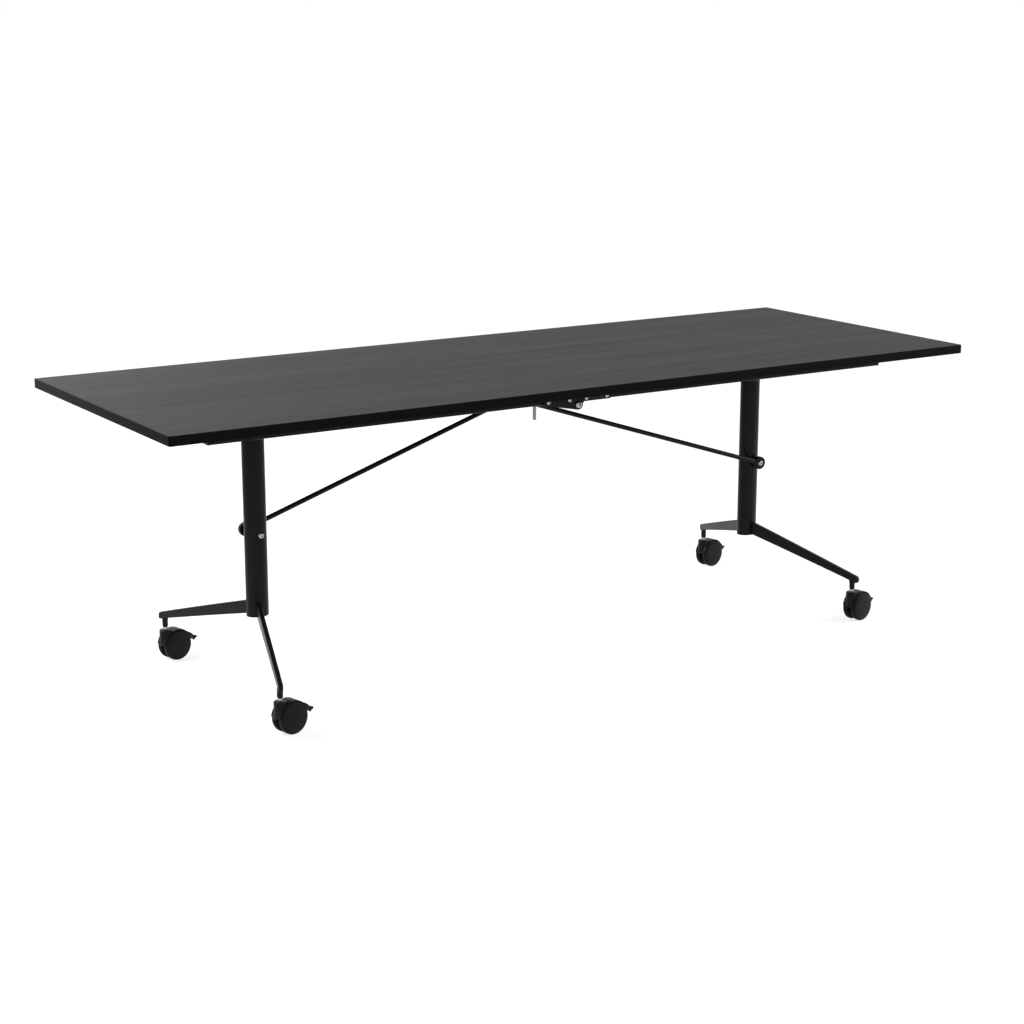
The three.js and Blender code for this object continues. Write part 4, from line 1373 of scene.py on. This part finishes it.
    def brake_lever(self, name, place):
        """A tapered, upturned pedal on a barrel whose pin turns in the ears."""
        node = f"{name}_brake_lever"
        bm = bmesh.new()
        under = bmesh.ops.create_grid(
            bm, x_segments=self.lever_stations, y_segments=self.lever_rows, size=0.5
        )["verts"]
        for vert in under:
            share = vert.co.x + 0.5
            width = self.lever_width + (self.lever_tip - self.lever_width) * share
            corner = self.lever_corner * (2 * vert.co.y) ** 2 * share
            bent = min(share / self.lever_bend, 1)
            drop = self.lever_drop * math.sin(bent * math.pi / 2) ** 2
            lift = self.lever_rise * share**2 - drop - self.lever_thickness / 2
            vert.co = (share * self.lever_length - corner, vert.co.y * width, lift)
        for vert in extruded(bm, list(bm.faces)):
            share = vert.co.x / self.lever_length
            taper = (self.lever_thickness - self.lever_root) * share
            vert.co.z += self.lever_root + taper + self.lever_rib * hump(share)
        for vert in under:
            past_start = vert.co.x / self.lever_length - self.web_start
            vert.co.z -= self.lever_web * hump(past_start / (self.web_end - self.web_start))
        bmesh.ops.recalc_face_normals(bm, faces=bm.faces)
        ease(bm, list(bm.verts), self.lever_ease, segments=3, sharper=self.lever_sharp)
        crosswise = at((0, 0, 0), (0, 1, 0))
        half = self.lever_width / 2
        rod(bm, self.lever_barrel / 2, -half, half, crosswise, steps=24)
        pin_end = half + self.fit + self.ear_thickness
        rod(bm, self.lever_pin / 2, -pin_end, pin_end, crosswise, steps=16)
        hinge = Matrix.Translation(self.lever_place(name, place))
        bmesh.ops.transform(bm, matrix=place @ hinge, verts=bm.verts)
        add_piece(node, bm, f"{name}_brake", "castor_nylon", "moulded_nylon")


class TABLE_OT_stage(bpy.types.Operator):
    """Pale floor, soft lights, white surroundings and the camera"""

    bl_idname = "table.stage"
    bl_label = "Stage"

    floor_size = 400.0
    floor_glow = 0.8
    world_light = 0.4
    white = (1, 1, 1, 1)
    camera_place = (-2.7411, -4.3288, 1.5912)
    camera_pitch = math.radians(90 - 13.768)
    camera_heading = math.radians(-32.139)
    lens = 73.862
    # Name, place, diameter in metres and power in watts of each lamp, and where they all point
    lamps = (
        ("key", (-1.7, 0.9, 1.7), 1.0, 34.0),
        ("fill", (3.0, -1.5, 2.2), 2.4, 42.0),
        ("back", (-1.2, 3.6, 2.8), 3.0, 30.0),
    )
    lamp_aim = (0, 0, 0.5)

    def execute(self, context):
        scene = context.scene
        scene.view_settings.view_transform = "Standard"
        self.floor(scene)
        self.surroundings(scene)
        for name, place, size, power in self.lamps:
            self.lamp(scene, name, Vector(place), size, power)
        self.camera(scene)
        return {"FINISHED"}

    def floor(self, scene):
        mesh = bpy.data.meshes.new("floor")
        bm = bmesh.new()
        bmesh.ops.create_grid(bm, x_segments=1, y_segments=1, size=self.floor_size / 2)
        bm.to_mesh(mesh)
        bm.free()
        # Matt painted floor. It gives an even white that keeps the table's soft shadow.
        material = bpy.data.materials.new("matt_floor_paint")
        material.use_nodes = True
        tree = material.node_tree
        tree.nodes.clear()
        paint = add_node(tree, "ShaderNodeBsdfDiffuse", values={"Color": rgba(colours().floor)})
        glow = add_node(
            tree,
            "ShaderNodeMath",
            operation="MULTIPLY",
            values={1: self.floor_glow},
            links={0: self.seen(tree)},
        )
        light = add_node(
            tree, "ShaderNodeEmission", values={"Color": self.white}, links={"Strength": glow}
        )
        both = add_node(tree, "ShaderNodeAddShader", links={0: paint, 1: light})
        add_node(tree, "ShaderNodeOutputMaterial", output=None, links={"Surface": both})
        mesh.materials.append(material)
        floor = bpy.data.objects.new("floor", mesh)
        scene.collection.objects.link(floor)

    def seen(self, tree):
        """1 where the camera, a reflection or a clear body looks at the stage, and else 0."""
        ray = add_node(tree, "ShaderNodeLightPath", output=None).outputs
        straight = add_node(
            tree,
            "ShaderNodeMath",
            operation="MAXIMUM",
            links={0: ray["Is Camera Ray"], 1: ray["Is Glossy Ray"]},
        )
        return add_node(
            tree,
            "ShaderNodeMath",
            operation="MAXIMUM",
            links={0: straight, 1: ray["Is Transmission Ray"]},
        )

    def surroundings(self, scene):
        world = bpy.data.worlds.new("white_studio")
        world.use_nodes = True
        tree = world.node_tree
        tree.nodes.clear()
        strength = add_node(
            tree,
            "ShaderNodeMapRange",
            values={"To Min": self.world_light, "To Max": 1.0},
            links={"Value": self.seen(tree)},
        )
        light = add_node(
            tree, "ShaderNodeBackground", values={"Color": self.white}, links={"Strength": strength}
        )
        add_node(tree, "ShaderNodeOutputWorld", output=None, links={"Surface": light})
        scene.world = world

    def lamp(self, scene, name, place, size, power):
        data = bpy.data.lights.new(name, "AREA")
        data.shape = "DISK"
        data.size = size
        data.energy = power
        lamp = bpy.data.objects.new(name, data)
        lamp.location = place
        aim = Vector(self.lamp_aim) - place
        lamp.rotation_euler = aim.to_track_quat("-Z", "Y").to_euler()
        scene.collection.objects.link(lamp)

    def camera(self, scene):
        data = bpy.data.cameras.new("camera")
        data.lens = self.lens
        camera = bpy.data.objects.new("camera", data)
        camera.location = self.camera_place
        camera.rotation_euler = (self.camera_pitch, 0, self.camera_heading)
        scene.collection.objects.link(camera)
        scene.camera = camera


OPERATORS = (
    TABLE_OT_worktop,
    TABLE_OT_underframe,
    TABLE_OT_hinge_leaves,
    TABLE_OT_fixings,
    TABLE_OT_pivot_bolts,
    TABLE_OT_latch,
    TABLE_OT_legs,
    TABLE_OT_foot_arms,
    TABLE_OT_struts,
    TABLE_OT_castors,
    TABLE_OT_stage,
)


class TABLE_PT_builder(bpy.types.Panel):
    """Steps, sizes and colours of the folding table"""

    bl_idname = "TABLE_PT_builder"
    bl_label = "Folding table"
    bl_space_type = "VIEW_3D"
    bl_region_type = "UI"
    bl_category = "Table"

    def draw(self, context):
        layout = self.layout
        for operator in OPERATORS:
            layout.operator(operator.bl_idname)
        for group in (context.scene.table_sizes, context.scene.table_colours):
            box = layout.box()
            for name in group.__annotations__:
                box.prop(group, name)


CLASSES = (TableColours, TableSizes, *OPERATORS, TABLE_PT_builder)


def register():
    for cls in CLASSES:
        bpy.utils.register_class(cls)
    bpy.types.Scene.table_colours = PointerProperty(type=TableColours)
    bpy.types.Scene.table_sizes = PointerProperty(type=TableSizes)


def unregister():
    del bpy.types.Scene.table_sizes
    del bpy.types.Scene.table_colours
    for cls in reversed(CLASSES):
        bpy.utils.unregister_class(cls)


def main():
    register()
    bpy.ops.table.worktop()
    bpy.ops.table.underframe()
    bpy.ops.table.hinge_leaves()
    bpy.ops.table.fixings()
    bpy.ops.table.pivot_bolts()
    bpy.ops.table.latch()
    bpy.ops.table.legs()
    bpy.ops.table.foot_arms()
    bpy.ops.table.struts()
    bpy.ops.table.castors()
    bpy.ops.table.stage()


if __name__ == "__main__":
    main()
